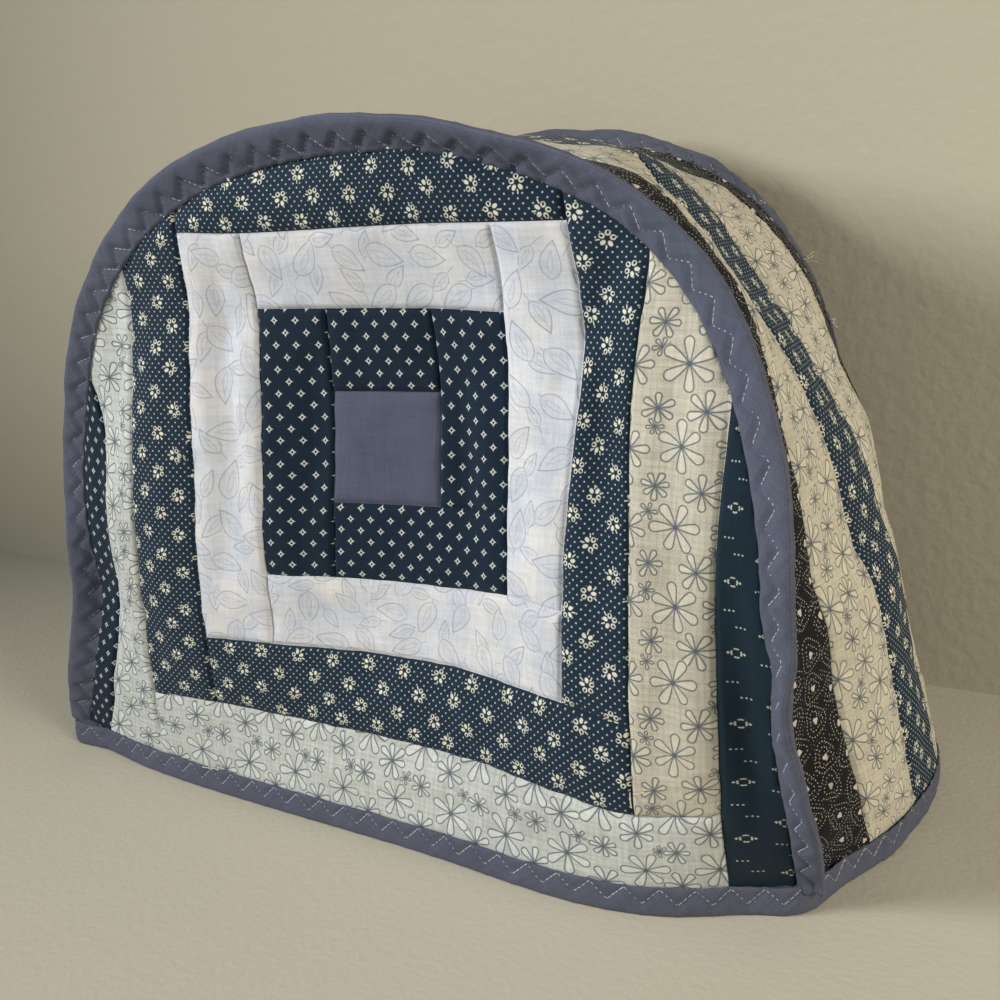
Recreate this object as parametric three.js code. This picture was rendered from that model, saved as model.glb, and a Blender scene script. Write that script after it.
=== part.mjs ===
// Patchwork toaster cover: a hollow, free-standing cloth cover, open below, that rests on its hem.
// A D-shaped front panel and back panel are joined by one long gusset that runs up one side, over the
// top and down the other. Each seam stands out as a flange wrapped in bias binding, and a wider run of
// the same binding closes the hem all round. The cloth is soft, so the faces are dished and ridged and
// the gusset swells and sags, as set by the short tables below.
// Millimetres. +X runs along the cover, -Y is its front, +Z is up and z = 0 is the table.
import * as THREE from 'three';

// ---------- driving sizes ----------
const CLOTH = 2.0; // pieced cotton with its backing
const CLEAR = 0.3; // between neighbouring pieces
const HEM_HEIGHT = 9.6; // height of the hem binding
const HEM_THICK = 4.2; // hem binding, folded round the cloth's edge
const CLOTH_START = HEM_HEIGHT + 3 * CLEAR; // lower edge of panels, gusset and seam bindings
const PANEL_INSET = 1.2; // a panel's edge stops this far inside its seam line, clear of the flange
const SPRING = 100; // height where the straight legs of the arch end and its crown begins
const FLANGE_THICK = 3.4; // seam binding, folded round both seam allowances
const STRIPS = 5; // lengthwise strips pieced into the gusset

// The seam line of each face: half widths at the spring line, rise of the crown above it, and how full
// the shoulders are (2 is an ellipse, more is squarer).
const OUTLINE = {
  front: { halfL: 140, halfR: 129, rise: 122, fullL: 2.2, fullR: 2.4 },
  back: { halfL: 134, halfR: 118, rise: 130, fullL: 2.2, fullR: 2.2 },
};

// How far the legs splay out towards the hem, at each height.
const SPLAY = {
  front: [
    { z: 10, left: 11, right: 6 },
    { z: 35, left: 2, right: 6 },
    { z: 65, left: 0, right: 3 },
    { z: SPRING, left: 0, right: 0 },
  ],
  back: [
    { z: 10, left: 14, right: 18 },
    { z: 35, left: 8, right: 12 },
    { z: 65, left: 4, right: 5 },
    { z: SPRING, left: 0, right: 0 },
  ],
};

// Where each face stands front to back, a row for each height. The columns run across the face, at the
// shares of the half width in ACROSS: left seam, left ridge, middle hollow, right ridge, right seam.
const ACROSS = { seamL: -1, ridgeL: -0.65, hollow: 0.12, ridgeR: 0.66, seamR: 1 };
const FACE = {
  front: [
    { z: 10, seamL: -85, ridgeL: -93, hollow: -94, ridgeR: -93, seamR: -70 },
    { z: 35, seamL: -86, ridgeL: -94, hollow: -86, ridgeR: -92, seamR: -81 },
    { z: 65, seamL: -80, ridgeL: -95, hollow: -80, ridgeR: -92, seamR: -87 },
    { z: 100, seamL: -76, ridgeL: -95, hollow: -75, ridgeR: -90, seamR: -94 },
    { z: 140, seamL: -79, ridgeL: -90, hollow: -72, ridgeR: -86, seamR: -96 },
    { z: 180, seamL: -84, ridgeL: -84, hollow: -75, ridgeR: -79, seamR: -87 },
    { z: 210, seamL: -87, ridgeL: -88, hollow: -85, ridgeR: -84, seamR: -84 },
    { z: 223, seamL: -85, ridgeL: -85, hollow: -85, ridgeR: -85, seamR: -85 },
  ],
  back: [
    { z: 10, seamL: 84, ridgeL: 94, hollow: 95, ridgeR: 94, seamR: 86 },
    { z: 35, seamL: 80, ridgeL: 92, hollow: 91, ridgeR: 92, seamR: 80 },
    { z: 65, seamL: 76, ridgeL: 88, hollow: 84, ridgeR: 88, seamR: 74 },
    { z: 100, seamL: 72, ridgeL: 84, hollow: 77, ridgeR: 84, seamR: 70 },
    { z: 140, seamL: 72, ridgeL: 80, hollow: 73, ridgeR: 80, seamR: 70 },
    { z: 180, seamL: 74, ridgeL: 78, hollow: 72, ridgeR: 78, seamR: 72 },
    { z: 215, seamL: 75, ridgeL: 76, hollow: 74, ridgeR: 76, seamR: 74 },
    { z: 230, seamL: 75, ridgeL: 75, hollow: 75, ridgeR: 75, seamR: 75 },
  ],
};

// How far the gusset swells out (or sags in, below zero) at the four seams between its strips. Each row
// is a place along the arch, as a share of its length from the left hem over the crown to the right hem.
const SWELL = [
  { along: 0.0, seam1: 12, seam2: 20, seam3: 20, seam4: 12 },
  { along: 0.12, seam1: 9, seam2: 17, seam3: 17, seam4: 9 },
  { along: 0.24, seam1: 3, seam2: 5, seam3: 5, seam4: 3 },
  { along: 0.34, seam1: 0, seam2: -3, seam3: -3, seam4: 0 },
  { along: 0.5, seam1: 2, seam2: 3, seam3: 2, seam4: 1 },
  { along: 0.61, seam1: 4, seam2: 4, seam3: 5, seam4: 4 },
  { along: 0.7, seam1: 3, seam2: -1, seam3: -1, seam4: 6 },
  { along: 0.76, seam1: 3, seam2: 6, seam3: 5, seam4: 7 },
  { along: 0.83, seam1: 6, seam2: 14, seam3: 18, seam4: 13 },
  { along: 0.89, seam1: 10, seam2: 22, seam3: 24, seam4: 17 },
  { along: 1.0, seam1: 18, seam2: 27, seam3: 29, seam4: 20 },
];

// The seam bindings: how wide the flange stands and how far it leans out of the arch's own plane, in
// degrees, away from the gusset. Below zero it is folded back along the gusset.
const FLANGE = {
  front: [
    { along: 0.0, width: 10.5, lean: 8 },
    { along: 0.1, width: 10.5, lean: 45 },
    { along: 0.25, width: 10.5, lean: 55 },
    { along: 0.4, width: 10.5, lean: 36 },
    { along: 0.5, width: 10.5, lean: 44 },
    { along: 0.62, width: 10.0, lean: 32 },
    { along: 0.75, width: 10.5, lean: 20 },
    { along: 0.85, width: 10.5, lean: 28 },
    { along: 0.9, width: 8.5, lean: 60 },
    { along: 0.94, width: 10.0, lean: 20 },
    { along: 1.0, width: 10.5, lean: -15 },
  ],
  back: [
    { along: 0.0, width: 10.5, lean: 0 },
    { along: 0.25, width: 10.5, lean: 35 },
    { along: 0.5, width: 10.5, lean: 18 },
    { along: 0.57, width: 10.5, lean: 45 },
    { along: 0.65, width: 10.5, lean: 70 },
    { along: 0.78, width: 10.5, lean: 66 },
    { along: 1.0, width: 10.5, lean: 10 },
  ],
};

// ---------- fineness of the meshes ----------
const PANEL_COLUMNS = 28;
const PANEL_ROWS = 16;
const GUSSET_STEPS = 60;
const GUSSET_SPANS = 10;
const BINDING_STEPS = 56;
const HEM_STEPS = 90;
const SEAM_STEPS = 60; // points that stand for each leg, and for each half of the crown, of a seam line
const SEAM_SLOPE = 0.012; // share of a seam's length over which its direction is taken

// ---------- colours ----------
const cotton = (color) => new THREE.MeshStandardMaterial({ color, roughness: 0.9, metalness: 0 });
const SLATE = cotton(0x585d7a);
const NAVY_PRINT = cotton(0x1b2c44);
const PALE_PRINT = cotton(0xc8ccd2);

// A smooth line through (stops, values), read at one place. Past the ends it keeps the end value.
function through(stops, values, place) {
  const last = stops.length - 1;
  const at = Math.min(Math.max(place, stops[0]), stops[last]);
  let i = 0;
  while (i < last - 1 && at >= stops[i + 1]) i += 1;
  const slope = (k) => {
    const lo = Math.max(k - 1, 0);
    const hi = Math.min(k + 1, last);
    return (values[hi] - values[lo]) / (stops[hi] - stops[lo]);
  };
  const span = stops[i + 1] - stops[i];
  const t = (at - stops[i]) / span;
  const t2 = t * t;
  const t3 = t2 * t;
  return (
    (2 * t3 - 3 * t2 + 1) * values[i] +
    (t3 - 2 * t2 + t) * span * slope(i) +
    (3 * t2 - 2 * t3) * values[i + 1] +
    (t3 - t2) * span * slope(i + 1)
  );
}

const column = (rows, key) => rows.map((row) => row[key]);
const fromTable = (rows, by, key, place) => through(column(rows, by), column(rows, key), place);

// ---------- the faces ----------
// Half width of the legs on one side, splay included, at a height up to the spring line.
function legHalf(face, side, z) {
  const half = side < 0 ? OUTLINE[face].halfL : OUTLINE[face].halfR;
  return z < SPRING ? half + fromTable(SPLAY[face], 'z', side < 0 ? 'left' : 'right', z) : half;
}

// Height of the seam line over a place across the face, as a share of the half width.
function crownHeight(face, share) {
  const full = share < 0 ? OUTLINE[face].fullL : OUTLINE[face].fullR;
  const drop = Math.max(1 - Math.abs(share) ** full, 0);
  return SPRING + OUTLINE[face].rise * drop ** (1 / full);
}

// Half width of the whole outline at any height.
function outlineHalf(face, side, z) {
  const full = side < 0 ? OUTLINE[face].fullL : OUTLINE[face].fullR;
  const up = Math.min(Math.max((z - SPRING) / OUTLINE[face].rise, 0), 1);
  return legHalf(face, side, z) * (1 - up ** full) ** (1 / full);
}

// Front-to-back place of a face at a share of its half width and a height.
function faceY(face, share, z) {
  const names = Object.keys(ACROSS);
  const values = names.map((name) => fromTable(FACE[face], 'z', name, z));
  return through(Object.values(ACROSS), values, share);
}

// A point of a panel: columns run straight up from the hem to the seam line.
function panelPoint(face, share, rise) {
  const top = crownHeight(face, share) - PANEL_INSET;
  const z = CLOTH_START + (top - CLOTH_START) * rise;
  const x = share * (legHalf(face, share, z) - PANEL_INSET);
  const half = outlineHalf(face, share, z);
  const reach = half > 1 ? Math.max(-1, Math.min(1, x / half)) : 0;
  return new THREE.Vector3(x, faceY(face, reach, z), z);
}

// ---------- the seams ----------
// The seam line of a face as points from the left hem over the crown to the right hem, with the share
// of the whole length at each.
function seamLine(face) {
  const { halfL, halfR, rise, fullL, fullR } = OUTLINE[face];
  const points = [];
  for (let i = 0; i < SEAM_STEPS; i += 1) {
    const z = CLOTH_START + ((SPRING - CLOTH_START) * i) / SEAM_STEPS;
    points.push(new THREE.Vector3(-legHalf(face, -1, z), faceY(face, -1, z), z));
  }
  for (let i = 0; i <= 2 * SEAM_STEPS; i += 1) {
    const turn = (Math.PI * i) / (2 * SEAM_STEPS);
    const left = turn < Math.PI / 2;
    const full = left ? fullL : fullR;
    const x = Math.abs(Math.cos(turn)) ** (2 / full) * (left ? -halfL : halfR);
    const z = SPRING + rise * Math.sin(turn) ** (2 / full);
    points.push(new THREE.Vector3(x, faceY(face, left ? -1 : 1, z), z));
  }
  for (let i = 1; i <= SEAM_STEPS; i += 1) {
    const z = SPRING + ((CLOTH_START - SPRING) * i) / SEAM_STEPS;
    points.push(new THREE.Vector3(legHalf(face, 1, z), faceY(face, 1, z), z));
  }
  const lengths = [0];
  for (let i = 1; i < points.length; i += 1) {
    lengths.push(lengths[i - 1] + points[i].distanceTo(points[i - 1]));
  }
  const whole = lengths[lengths.length - 1];
  return { points, shares: lengths.map((length) => length / whole) };
}

const SEAM = { front: seamLine('front'), back: seamLine('back') };

function seamPoint(face, along) {
  const { points, shares } = SEAM[face];
  let i = 0;
  while (i < points.length - 2 && along >= shares[i + 1]) i += 1;
  const t = (along - shares[i]) / (shares[i + 1] - shares[i]);
  return points[i].clone().lerp(points[i + 1], t);
}

// Straight out of the arch at a place along a seam, in the plane of the arch.
function seamOut(face, along) {
  const ahead = seamPoint(face, Math.min(along + SEAM_SLOPE, 1));
  const behind = seamPoint(face, Math.max(along - SEAM_SLOPE, 0));
  return new THREE.Vector3(behind.z - ahead.z, 0, ahead.x - behind.x).normalize();
}

// ---------- the gusset ----------
const GUSSET_TUCK = 1.5; // the gusset's middle lies this far inside the seam line, clear of the flanges
const GUSSET_START = 2.0; // and its long edges start this far behind each seam line
const LEVEL_TO = 60; // below this height over the hem it swells out level, so its lower edge stays level

function gussetPoint(along, depth) {
  const front = seamPoint('front', along);
  const back = seamPoint('back', along);
  const seams = [0];
  for (let k = 1; k < STRIPS; k += 1) seams.push(fromTable(SWELL, 'along', `seam${k}`, along));
  seams.push(0);
  const stops = seams.map((_, k) => k / STRIPS);
  const point = front.clone().lerp(back, depth);
  const out = seamOut('front', along).lerp(seamOut('back', along), depth);
  out.z *= Math.min((point.z - CLOTH_START) / LEVEL_TO, 1);
  return point.addScaledVector(out.normalize(), through(stops, seams, depth) - GUSSET_TUCK);
}

// ---------- solids ----------
// A closed mesh from vertices and quads, position only.
function solid(name, vertices, quads, material) {
  const geometry = new THREE.BufferGeometry();
  const positions = vertices.flatMap((v) => [v.x, v.y, v.z]);
  geometry.setAttribute('position', new THREE.Float32BufferAttribute(positions, 3));
  geometry.setIndex(quads.flatMap(([a, b, c, d]) => [a, b, c, a, c, d]));
  const mesh = new THREE.Mesh(geometry, material);
  mesh.name = name;
  return mesh;
}

// A sheet of cloth of even thickness round a grid of middle points, grid[i][j]. The side towards
// (along i) x (along j) is its outer face.
function sheet(name, grid, material) {
  const rows = grid.length;
  const cols = grid[0].length;
  const outer = [];
  const inner = [];
  for (let i = 0; i < rows; i += 1) {
    for (let j = 0; j < cols; j += 1) {
      const runI = grid[Math.min(i + 1, rows - 1)][j].clone().sub(grid[Math.max(i - 1, 0)][j]);
      const runJ = grid[i][Math.min(j + 1, cols - 1)].clone().sub(grid[i][Math.max(j - 1, 0)]);
      const normal = runI.cross(runJ).normalize();
      outer.push(grid[i][j].clone().addScaledVector(normal, CLOTH / 2));
      inner.push(grid[i][j].clone().addScaledVector(normal, -CLOTH / 2));
    }
  }
  const top = (i, j) => i * cols + j;
  const under = (i, j) => rows * cols + i * cols + j;
  const quads = [];
  for (let i = 0; i < rows - 1; i += 1) {
    for (let j = 0; j < cols - 1; j += 1) {
      quads.push([top(i, j), top(i + 1, j), top(i + 1, j + 1), top(i, j + 1)]);
      quads.push([under(i, j), under(i, j + 1), under(i + 1, j + 1), under(i + 1, j)]);
    }
  }
  for (let i = 0; i < rows - 1; i += 1) {
    quads.push([top(i + 1, 0), top(i, 0), under(i, 0), under(i + 1, 0)]);
    quads.push([top(i, cols - 1), top(i + 1, cols - 1), under(i + 1, cols - 1), under(i, cols - 1)]);
  }
  for (let j = 0; j < cols - 1; j += 1) {
    quads.push([top(0, j), top(0, j + 1), under(0, j + 1), under(0, j)]);
    quads.push([top(rows - 1, j + 1), top(rows - 1, j), under(rows - 1, j), under(rows - 1, j + 1)]);
  }
  return solid(name, [...outer, ...inner], quads, material);
}

// A strip swept through rings of points that all have the same count. An open strip gets flat ends.
function swept(name, rings, closed, material) {
  const count = rings[0].length;
  const quads = [];
  const steps = closed ? rings.length : rings.length - 1;
  for (let i = 0; i < steps; i += 1) {
    const here = i * count;
    const next = ((i + 1) % rings.length) * count;
    for (let k = 0; k < count; k += 1) {
      const other = (k + 1) % count;
      quads.push([here + k, next + k, next + other, here + other]);
    }
  }
  const mesh = solid(name, rings.flat(), quads, material);
  if (!closed) {
    const index = [...mesh.geometry.index.array];
    const end = (rings.length - 1) * count;
    for (let k = 1; k < count - 1; k += 1) {
      index.push(0, k, k + 1);
      index.push(end, end + k + 1, end + k);
    }
    mesh.geometry.setIndex(index);
  }
  return mesh;
}

function panel(name, face, material) {
  const grid = [];
  for (let i = 0; i <= PANEL_COLUMNS; i += 1) {
    const share = Math.sin((Math.PI / 2) * ((2 * i) / PANEL_COLUMNS - 1));
    const line = [];
    for (let j = 0; j <= PANEL_ROWS; j += 1) line.push(panelPoint(face, share, j / PANEL_ROWS));
    grid.push(line);
  }
  if (face === 'back') grid.reverse();
  return sheet(name, grid, material);
}

function gusset(name, material) {
  const grid = [];
  for (let i = 0; i <= GUSSET_STEPS; i += 1) {
    const along = i / GUSSET_STEPS;
    const span = seamPoint('back', along).distanceTo(seamPoint('front', along));
    const start = GUSSET_START / span;
    const line = [];
    for (let j = 0; j <= GUSSET_SPANS; j += 1) {
      line.push(gussetPoint(along, start + (1 - 2 * start) * (j / GUSSET_SPANS)));
    }
    grid.push(line);
  }
  return sheet(name, grid, material);
}

// The section of a seam binding: a folded strip, thin where it leaves the seam, rounded at its fold.
// out runs across the flange, as a share of its width, and thick across its thickness.
const FLANGE_SECTION = [
  { out: 0.05, thick: -0.12 },
  { out: 0.26, thick: -0.47 },
  { out: 0.88, thick: -0.5 },
  { out: 1.0, thick: -0.2 },
  { out: 1.0, thick: 0.2 },
  { out: 0.88, thick: 0.5 },
  { out: 0.26, thick: 0.47 },
  { out: 0.05, thick: 0.12 },
];

// The directions across a flange and through its thickness, at a place along its seam.
function flangeDirections(face, along) {
  const facing = face === 'front' ? -1 : 1;
  const lean = THREE.MathUtils.degToRad(fromTable(FLANGE[face], 'along', 'lean', along));
  const out = seamOut(face, along);
  const across = out.clone().multiplyScalar(Math.cos(lean));
  across.y = facing * Math.sin(lean);
  const thickwise = out.clone().multiplyScalar(Math.sin(lean));
  thickwise.y = -facing * Math.cos(lean);
  return { across, thickwise };
}

function seamBinding(name, face, material) {
  const rings = [];
  for (let i = 0; i <= BINDING_STEPS; i += 1) {
    const along = i / BINDING_STEPS;
    const width = fromTable(FLANGE[face], 'along', 'width', along);
    const { across, thickwise } = flangeDirections(face, along);
    const origin = seamPoint(face, along);
    rings.push(
      FLANGE_SECTION.map((corner) =>
        origin
          .clone()
          .addScaledVector(across, corner.out * width)
          .addScaledVector(thickwise, corner.thick * FLANGE_THICK),
      ),
    );
  }
  if (face === 'back') rings.reverse();
  return swept(name, rings, false, material);
}

// How far the hem binding stands out past each seam, where it takes in the lower end of a flange.
const HEM_CORNER = { frontL: 11, frontR: 3, backR: 6, backL: 8 };

// The hem binding's section: flat underneath where it rests on the table.
const HEM_SECTION = [
  { out: -0.32, up: 0 },
  { out: 0.32, up: 0 },
  { out: 0.5, up: 0.14 },
  { out: 0.5, up: 0.9 },
  { out: 0.34, up: 1 },
  { out: -0.34, up: 1 },
  { out: -0.5, up: 0.9 },
  { out: -0.5, up: 0.14 },
];

// Where the hem binding runs round the lower end of a flange.
function hemCorner(face, along, reach) {
  return seamPoint(face, along).addScaledVector(flangeDirections(face, along).across, reach);
}

// The middle line of the hem binding runs under the lower edges of the cloth. Between corners it is
// guided by HEM_GUIDES places on each edge, kept HEM_EASE (as a share of the edge) away from its ends.
const HEM_GUIDES = { panel: 12, gusset: 7 };
const HEM_EASE = { panel: 0.045, gusset: 0.12 };

function hemGuides(edge, pointAt) {
  const last = HEM_GUIDES[edge] - 1;
  const shares = Array.from({ length: last + 1 }, (_, i) => i / last);
  return shares.map((share) => pointAt(HEM_EASE[edge] + (1 - 2 * HEM_EASE[edge]) * share));
}

function hemBinding(name, material) {
  const round = [
    ...hemGuides('panel', (share) => panelPoint('front', 2 * share - 1, 0)),
    hemCorner('front', 1, HEM_CORNER.frontR),
    ...hemGuides('gusset', (share) => gussetPoint(1, share)),
    hemCorner('back', 1, HEM_CORNER.backR),
    ...hemGuides('panel', (share) => panelPoint('back', 1 - 2 * share, 0)),
    hemCorner('back', 0, HEM_CORNER.backL),
    ...hemGuides('gusset', (share) => gussetPoint(0, 1 - share)),
    hemCorner('front', 0, HEM_CORNER.frontL),
  ];
  const ring = new THREE.CatmullRomCurve3(
    round.map((p) => new THREE.Vector3(p.x, p.y, 0)),
    true,
    'centripetal',
  );
  const line = ring.getSpacedPoints(HEM_STEPS).slice(0, HEM_STEPS);
  const rings = line.map((point, i) => {
    const ahead = line[(i + 1) % HEM_STEPS];
    const behind = line[(i + HEM_STEPS - 1) % HEM_STEPS];
    const run = ahead.clone().sub(behind).normalize();
    const out = new THREE.Vector3(run.y, -run.x, 0);
    return HEM_SECTION.map((corner) => {
      const spot = point.clone().addScaledVector(out, corner.out * HEM_THICK);
      spot.z = corner.up * HEM_HEIGHT;
      return spot;
    });
  });
  return swept(name, rings, true, material);
}

// ---------- the cover ----------
const cover = new THREE.Group();
cover.add(panel('front_panel', 'front', NAVY_PRINT));
cover.add(panel('back_panel', 'back', NAVY_PRINT));
cover.add(gusset('gusset', PALE_PRINT));
cover.add(seamBinding('front_seam_binding', 'front', SLATE));
cover.add(seamBinding('back_seam_binding', 'back', SLATE));
cover.add(hemBinding('hem_binding', SLATE));

// The origin is on the table under the middle of the whole cover.
const middle = new THREE.Box3().setFromObject(cover).getCenter(new THREE.Vector3());
cover.position.set(-middle.x, -middle.y, 0);

export default cover;
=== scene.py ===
import math

import bpy
import numpy as np
from mathutils import Matrix, Vector, noise


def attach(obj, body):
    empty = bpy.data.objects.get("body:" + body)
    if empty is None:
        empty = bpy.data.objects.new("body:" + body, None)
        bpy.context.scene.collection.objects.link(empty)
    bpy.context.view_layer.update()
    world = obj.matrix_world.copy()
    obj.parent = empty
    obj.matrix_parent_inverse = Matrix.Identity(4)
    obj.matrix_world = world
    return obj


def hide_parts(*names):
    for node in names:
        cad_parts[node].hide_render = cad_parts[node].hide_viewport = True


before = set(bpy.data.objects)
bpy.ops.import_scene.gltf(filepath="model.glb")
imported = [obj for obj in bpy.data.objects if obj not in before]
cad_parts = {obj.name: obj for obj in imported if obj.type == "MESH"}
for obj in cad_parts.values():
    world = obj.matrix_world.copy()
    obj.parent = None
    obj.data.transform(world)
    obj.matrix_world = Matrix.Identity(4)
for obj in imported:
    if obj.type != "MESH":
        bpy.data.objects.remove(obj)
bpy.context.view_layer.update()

# ---------- Front panel: its shape ----------
# A D-shaped face of pieced quilting cotton, soft and free standing. Its seam line runs up two legs and
# over a crown, and the cloth between is dished in the middle and ridged at either side.

# The tables are in millimetres, in the frame the cover was drawn in, where MIDDLE is its middle.
MM = 0.001
MIDDLE = (2.757, 1.849)
# Heights of the cloth's cut edge inside the hem, of the place where it comes out of the hem, and of the
# place where the legs end and the crown begins.
HEM_DEPTH = 7.6
CLOTH_START = 10.5
SPRING = 100.0
# Half widths at the spring, the rise of the crown above it, and how full each shoulder is (2 is round).
OUTLINE = {
    "front": {"halfL": 141, "halfR": 129, "rise": 123.6, "fullL": 2.15, "fullR": 2.33},
}
# How far the legs splay out below the spring, at five heights.
SPLAY = {
    "front": {
        "z": (10, 35, 65, 85, 100),
        "left": (10.5, 1.5, -0.6, 0.5, 0),
        "right": (5.8, 5.5, 2.6, 2.8, 0),
    },
}
# How far forward or back the cloth stands at eight heights, on five lines from the left seam to the right.
ACROSS = {"seamL": -1, "ridgeL": -0.65, "hollow": 0.12, "ridgeR": 0.66, "seamR": 1}
FACE = {
    "front": {
        "z": (10, 35, 65, 100, 140, 180, 210, 223),
        "seamL": (-85, -86, -80, -81, -79, -84, -87, -85),
        "ridgeL": (-91.5, -93, -95, -95, -90, -84, -88, -85),
        "hollow": (-91.5, -86, -80, -75, -72, -75, -85, -85),
        "ridgeR": (-91, -92, -92, -90, -86, -79, -84, -85),
        "seamR": (-68.5, -80, -87, -94, -96, -87, -84, -85),
    },
}
ROLL_SHIFT = (17.3, -9.1, 5.7)


def smooth(stops, values, place):
    """A smooth line through (stops, values), read at each place; past the ends it stays level."""
    stops = np.asarray(stops, float)
    place = np.clip(np.asarray(place, float), stops[0], stops[-1])
    flat = place.ravel()
    values = np.asarray(values, float)
    if values.ndim == 1:
        values = np.repeat(values[:, None], flat.size, 1)
    last = len(stops) - 1
    low = np.clip(np.searchsorted(stops, flat, side="right") - 1, 0, last - 1)
    every = np.arange(flat.size)

    def slope(k):
        before = np.maximum(k - 1, 0)
        after = np.minimum(k + 1, last)
        return (values[after, every] - values[before, every]) / (stops[after] - stops[before])

    span = stops[low + 1] - stops[low]
    t = (flat - stops[low]) / span
    line = (2 * t**3 - 3 * t**2 + 1) * values[low, every] + (t**3 - 2 * t**2 + t) * span * slope(low)
    line += (3 * t**2 - 2 * t**3) * values[low + 1, every] + (t**3 - t**2) * span * slope(low + 1)
    return line.reshape(place.shape)


def leg_half(face, x, z):
    """Half width of the legs on the side of x, at height z, splay included."""
    lines = OUTLINE[face]
    splay = SPLAY[face]
    left = lines["halfL"] + smooth(splay["z"], splay["left"], z)
    right = lines["halfR"] + smooth(splay["z"], splay["right"], z)
    return np.where(x < 0, left, right)


def outline_half(face, x, z):
    """Half width of the whole seam line on the side of x, at height z."""
    lines = OUTLINE[face]
    full = np.where(x < 0, lines["fullL"], lines["fullR"])
    up = np.clip((z - SPRING) / lines["rise"], 0, 1)
    return leg_half(face, x, z) * (1 - up**full) ** (1 / full)


def face_y(face, share, z):
    """Front-to-back place of a face at a share of its half width and a height."""
    rows = [smooth(FACE[face]["z"], FACE[face][line], z).ravel() for line in ACROSS]
    return smooth(list(ACROSS.values()), np.array(rows), share)


def arch(face, leg_z, turns):
    """Close points up the left leg, over the crown and down the right leg: their x, z and side."""
    lines = OUTLINE[face]
    turn = np.linspace(0, math.pi, turns)
    left = turn < math.pi / 2
    full = np.where(left, lines["fullL"], lines["fullR"])
    half = np.where(left, -lines["halfL"], lines["halfR"])
    left_leg, right_leg = [leg_half(face, side + 0 * leg_z, leg_z) for side in (-1, 1)]
    x = np.concatenate([-left_leg, half * np.abs(np.cos(turn)) ** (2 / full), right_leg[::-1]])
    z = np.concatenate([leg_z, SPRING + lines["rise"] * np.sin(turn) ** (2 / full), leg_z[::-1]])
    side = np.concatenate([-1 + 0 * leg_z, np.where(left, -1.0, 1.0), 1 + 0 * leg_z])
    return x, z, side


def roll(places, size, seed):
    """Soft uneven rise and fall, about -1 to 1, with hills about size apart; each seed has its own."""
    shift = Vector([seed * far for far in ROLL_SHIFT])
    return np.array([noise.noise(Vector(place) / size + shift) for place in places])


# ---------- Front panel: its cottons ----------
# Quilting cottons in plain weave, printed with small repeats: hollow diamonds, outlined leaves, a dotted
# calico with sprigs, outlined daisies, and rings with dashes, round a plain slate square. Each strip is
# cut on its own, so its print starts at another place. Prints and weave are in millimetres of cloth.
SLATE = (0.079, 0.092, 0.143)
WRONG_SIDE = (0.50, 0.51, 0.55)
THREADS_APART = 0.70
THREAD_RELIEF = 0.10
SLUB_SIZE = 0.9
SLUB_STRETCH = 0.12
# A cotton's shade: its even part, and what broad clouds, slubs and threads add to it.
EVEN_TONE = 0.57
CLOUD_TONE = 0.20
CLOUD_SIZE = 28
SLUB_TONE = 0.31
THREAD_TONE = 0.22
FULL_TURN = 2 * math.pi


def arithmetic(operation, turned_round=False):
    """One kind of reckoning with a Spot; turned_round is for a plain number that stands before it."""
    def work(spot, *others):
        numbers = (*others, spot) if turned_round else (spot, *others)
        return spot.reckon(operation, *numbers)
    return work


class Spot:
    """A number at every spot of a cloth. Arithmetic on it adds Math nodes to the material."""

    def __init__(self, tree, socket):
        self.tree = tree
        self.socket = socket

    def reckon(self, operation, *numbers, clamp=False):
        """One Math node; each number is a plain one or a Spot."""
        node = self.tree.nodes.new("ShaderNodeMath")
        node.operation = operation
        node.use_clamp = clamp
        for place, number in enumerate(numbers):
            if isinstance(number, Spot):
                self.tree.links.new(number.socket, node.inputs[place])
            else:
                node.inputs[place].default_value = number
        return Spot(self.tree, node.outputs[0])

    def inside(self, edge, soft=0.1):
        """1 where the number is under the edge and 0 where it is over, softly printed."""
        return self.reckon("MULTIPLY_ADD", self, -0.5 / soft, edge * 0.5 / soft + 0.5, clamp=True)

    __add__ = arithmetic("ADD")
    __radd__ = arithmetic("ADD", turned_round=True)
    __sub__ = arithmetic("SUBTRACT")
    __rsub__ = arithmetic("SUBTRACT", turned_round=True)
    __mul__ = arithmetic("MULTIPLY")
    __rmul__ = arithmetic("MULTIPLY", turned_round=True)
    __truediv__ = arithmetic("DIVIDE")
    power = arithmetic("POWER")
    larger = arithmetic("MAXIMUM")
    smaller = arithmetic("MINIMUM")
    size = arithmetic("ABSOLUTE")
    root = arithmetic("SQRT")
    whole = arithmetic("FLOOR")
    rest = arithmetic("FRACT")
    sine = arithmetic("SINE")
    cosine = arithmetic("COSINE")


def away(x, y):
    """Distance from the origin."""
    return (x * x + y * y).root()


def heading(x, y):
    """Direction from the origin, as a share of a full turn, 0 to 1."""
    return (x.reckon("ARCTAN2", y, x) / FULL_TURN + 1.0).rest()


def turned(x, y, turn):
    """x and y seen after a turn, given as a share of a full turn."""
    angle = turn * FULL_TURN
    cos = angle.cosine()
    sin = angle.sine()
    return x * cos + y * sin, y * cos - x * sin


def chance(i, j, seed):
    """Three fixed random numbers, 0 to 1, for each cell of a repeat."""
    tree = i.tree
    join = tree.nodes.new("ShaderNodeCombineXYZ")
    tree.links.new(i.socket, join.inputs[0])
    tree.links.new(j.socket, join.inputs[1])
    join.inputs[2].default_value = seed
    dice = tree.nodes.new("ShaderNodeTexWhiteNoise")
    tree.links.new(join.outputs[0], dice.inputs["Vector"])
    parts = tree.nodes.new("ShaderNodeSeparateColor")
    tree.links.new(dice.outputs["Color"], parts.inputs[0])
    return [Spot(tree, parts.outputs[k]) for k in range(3)]


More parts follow.
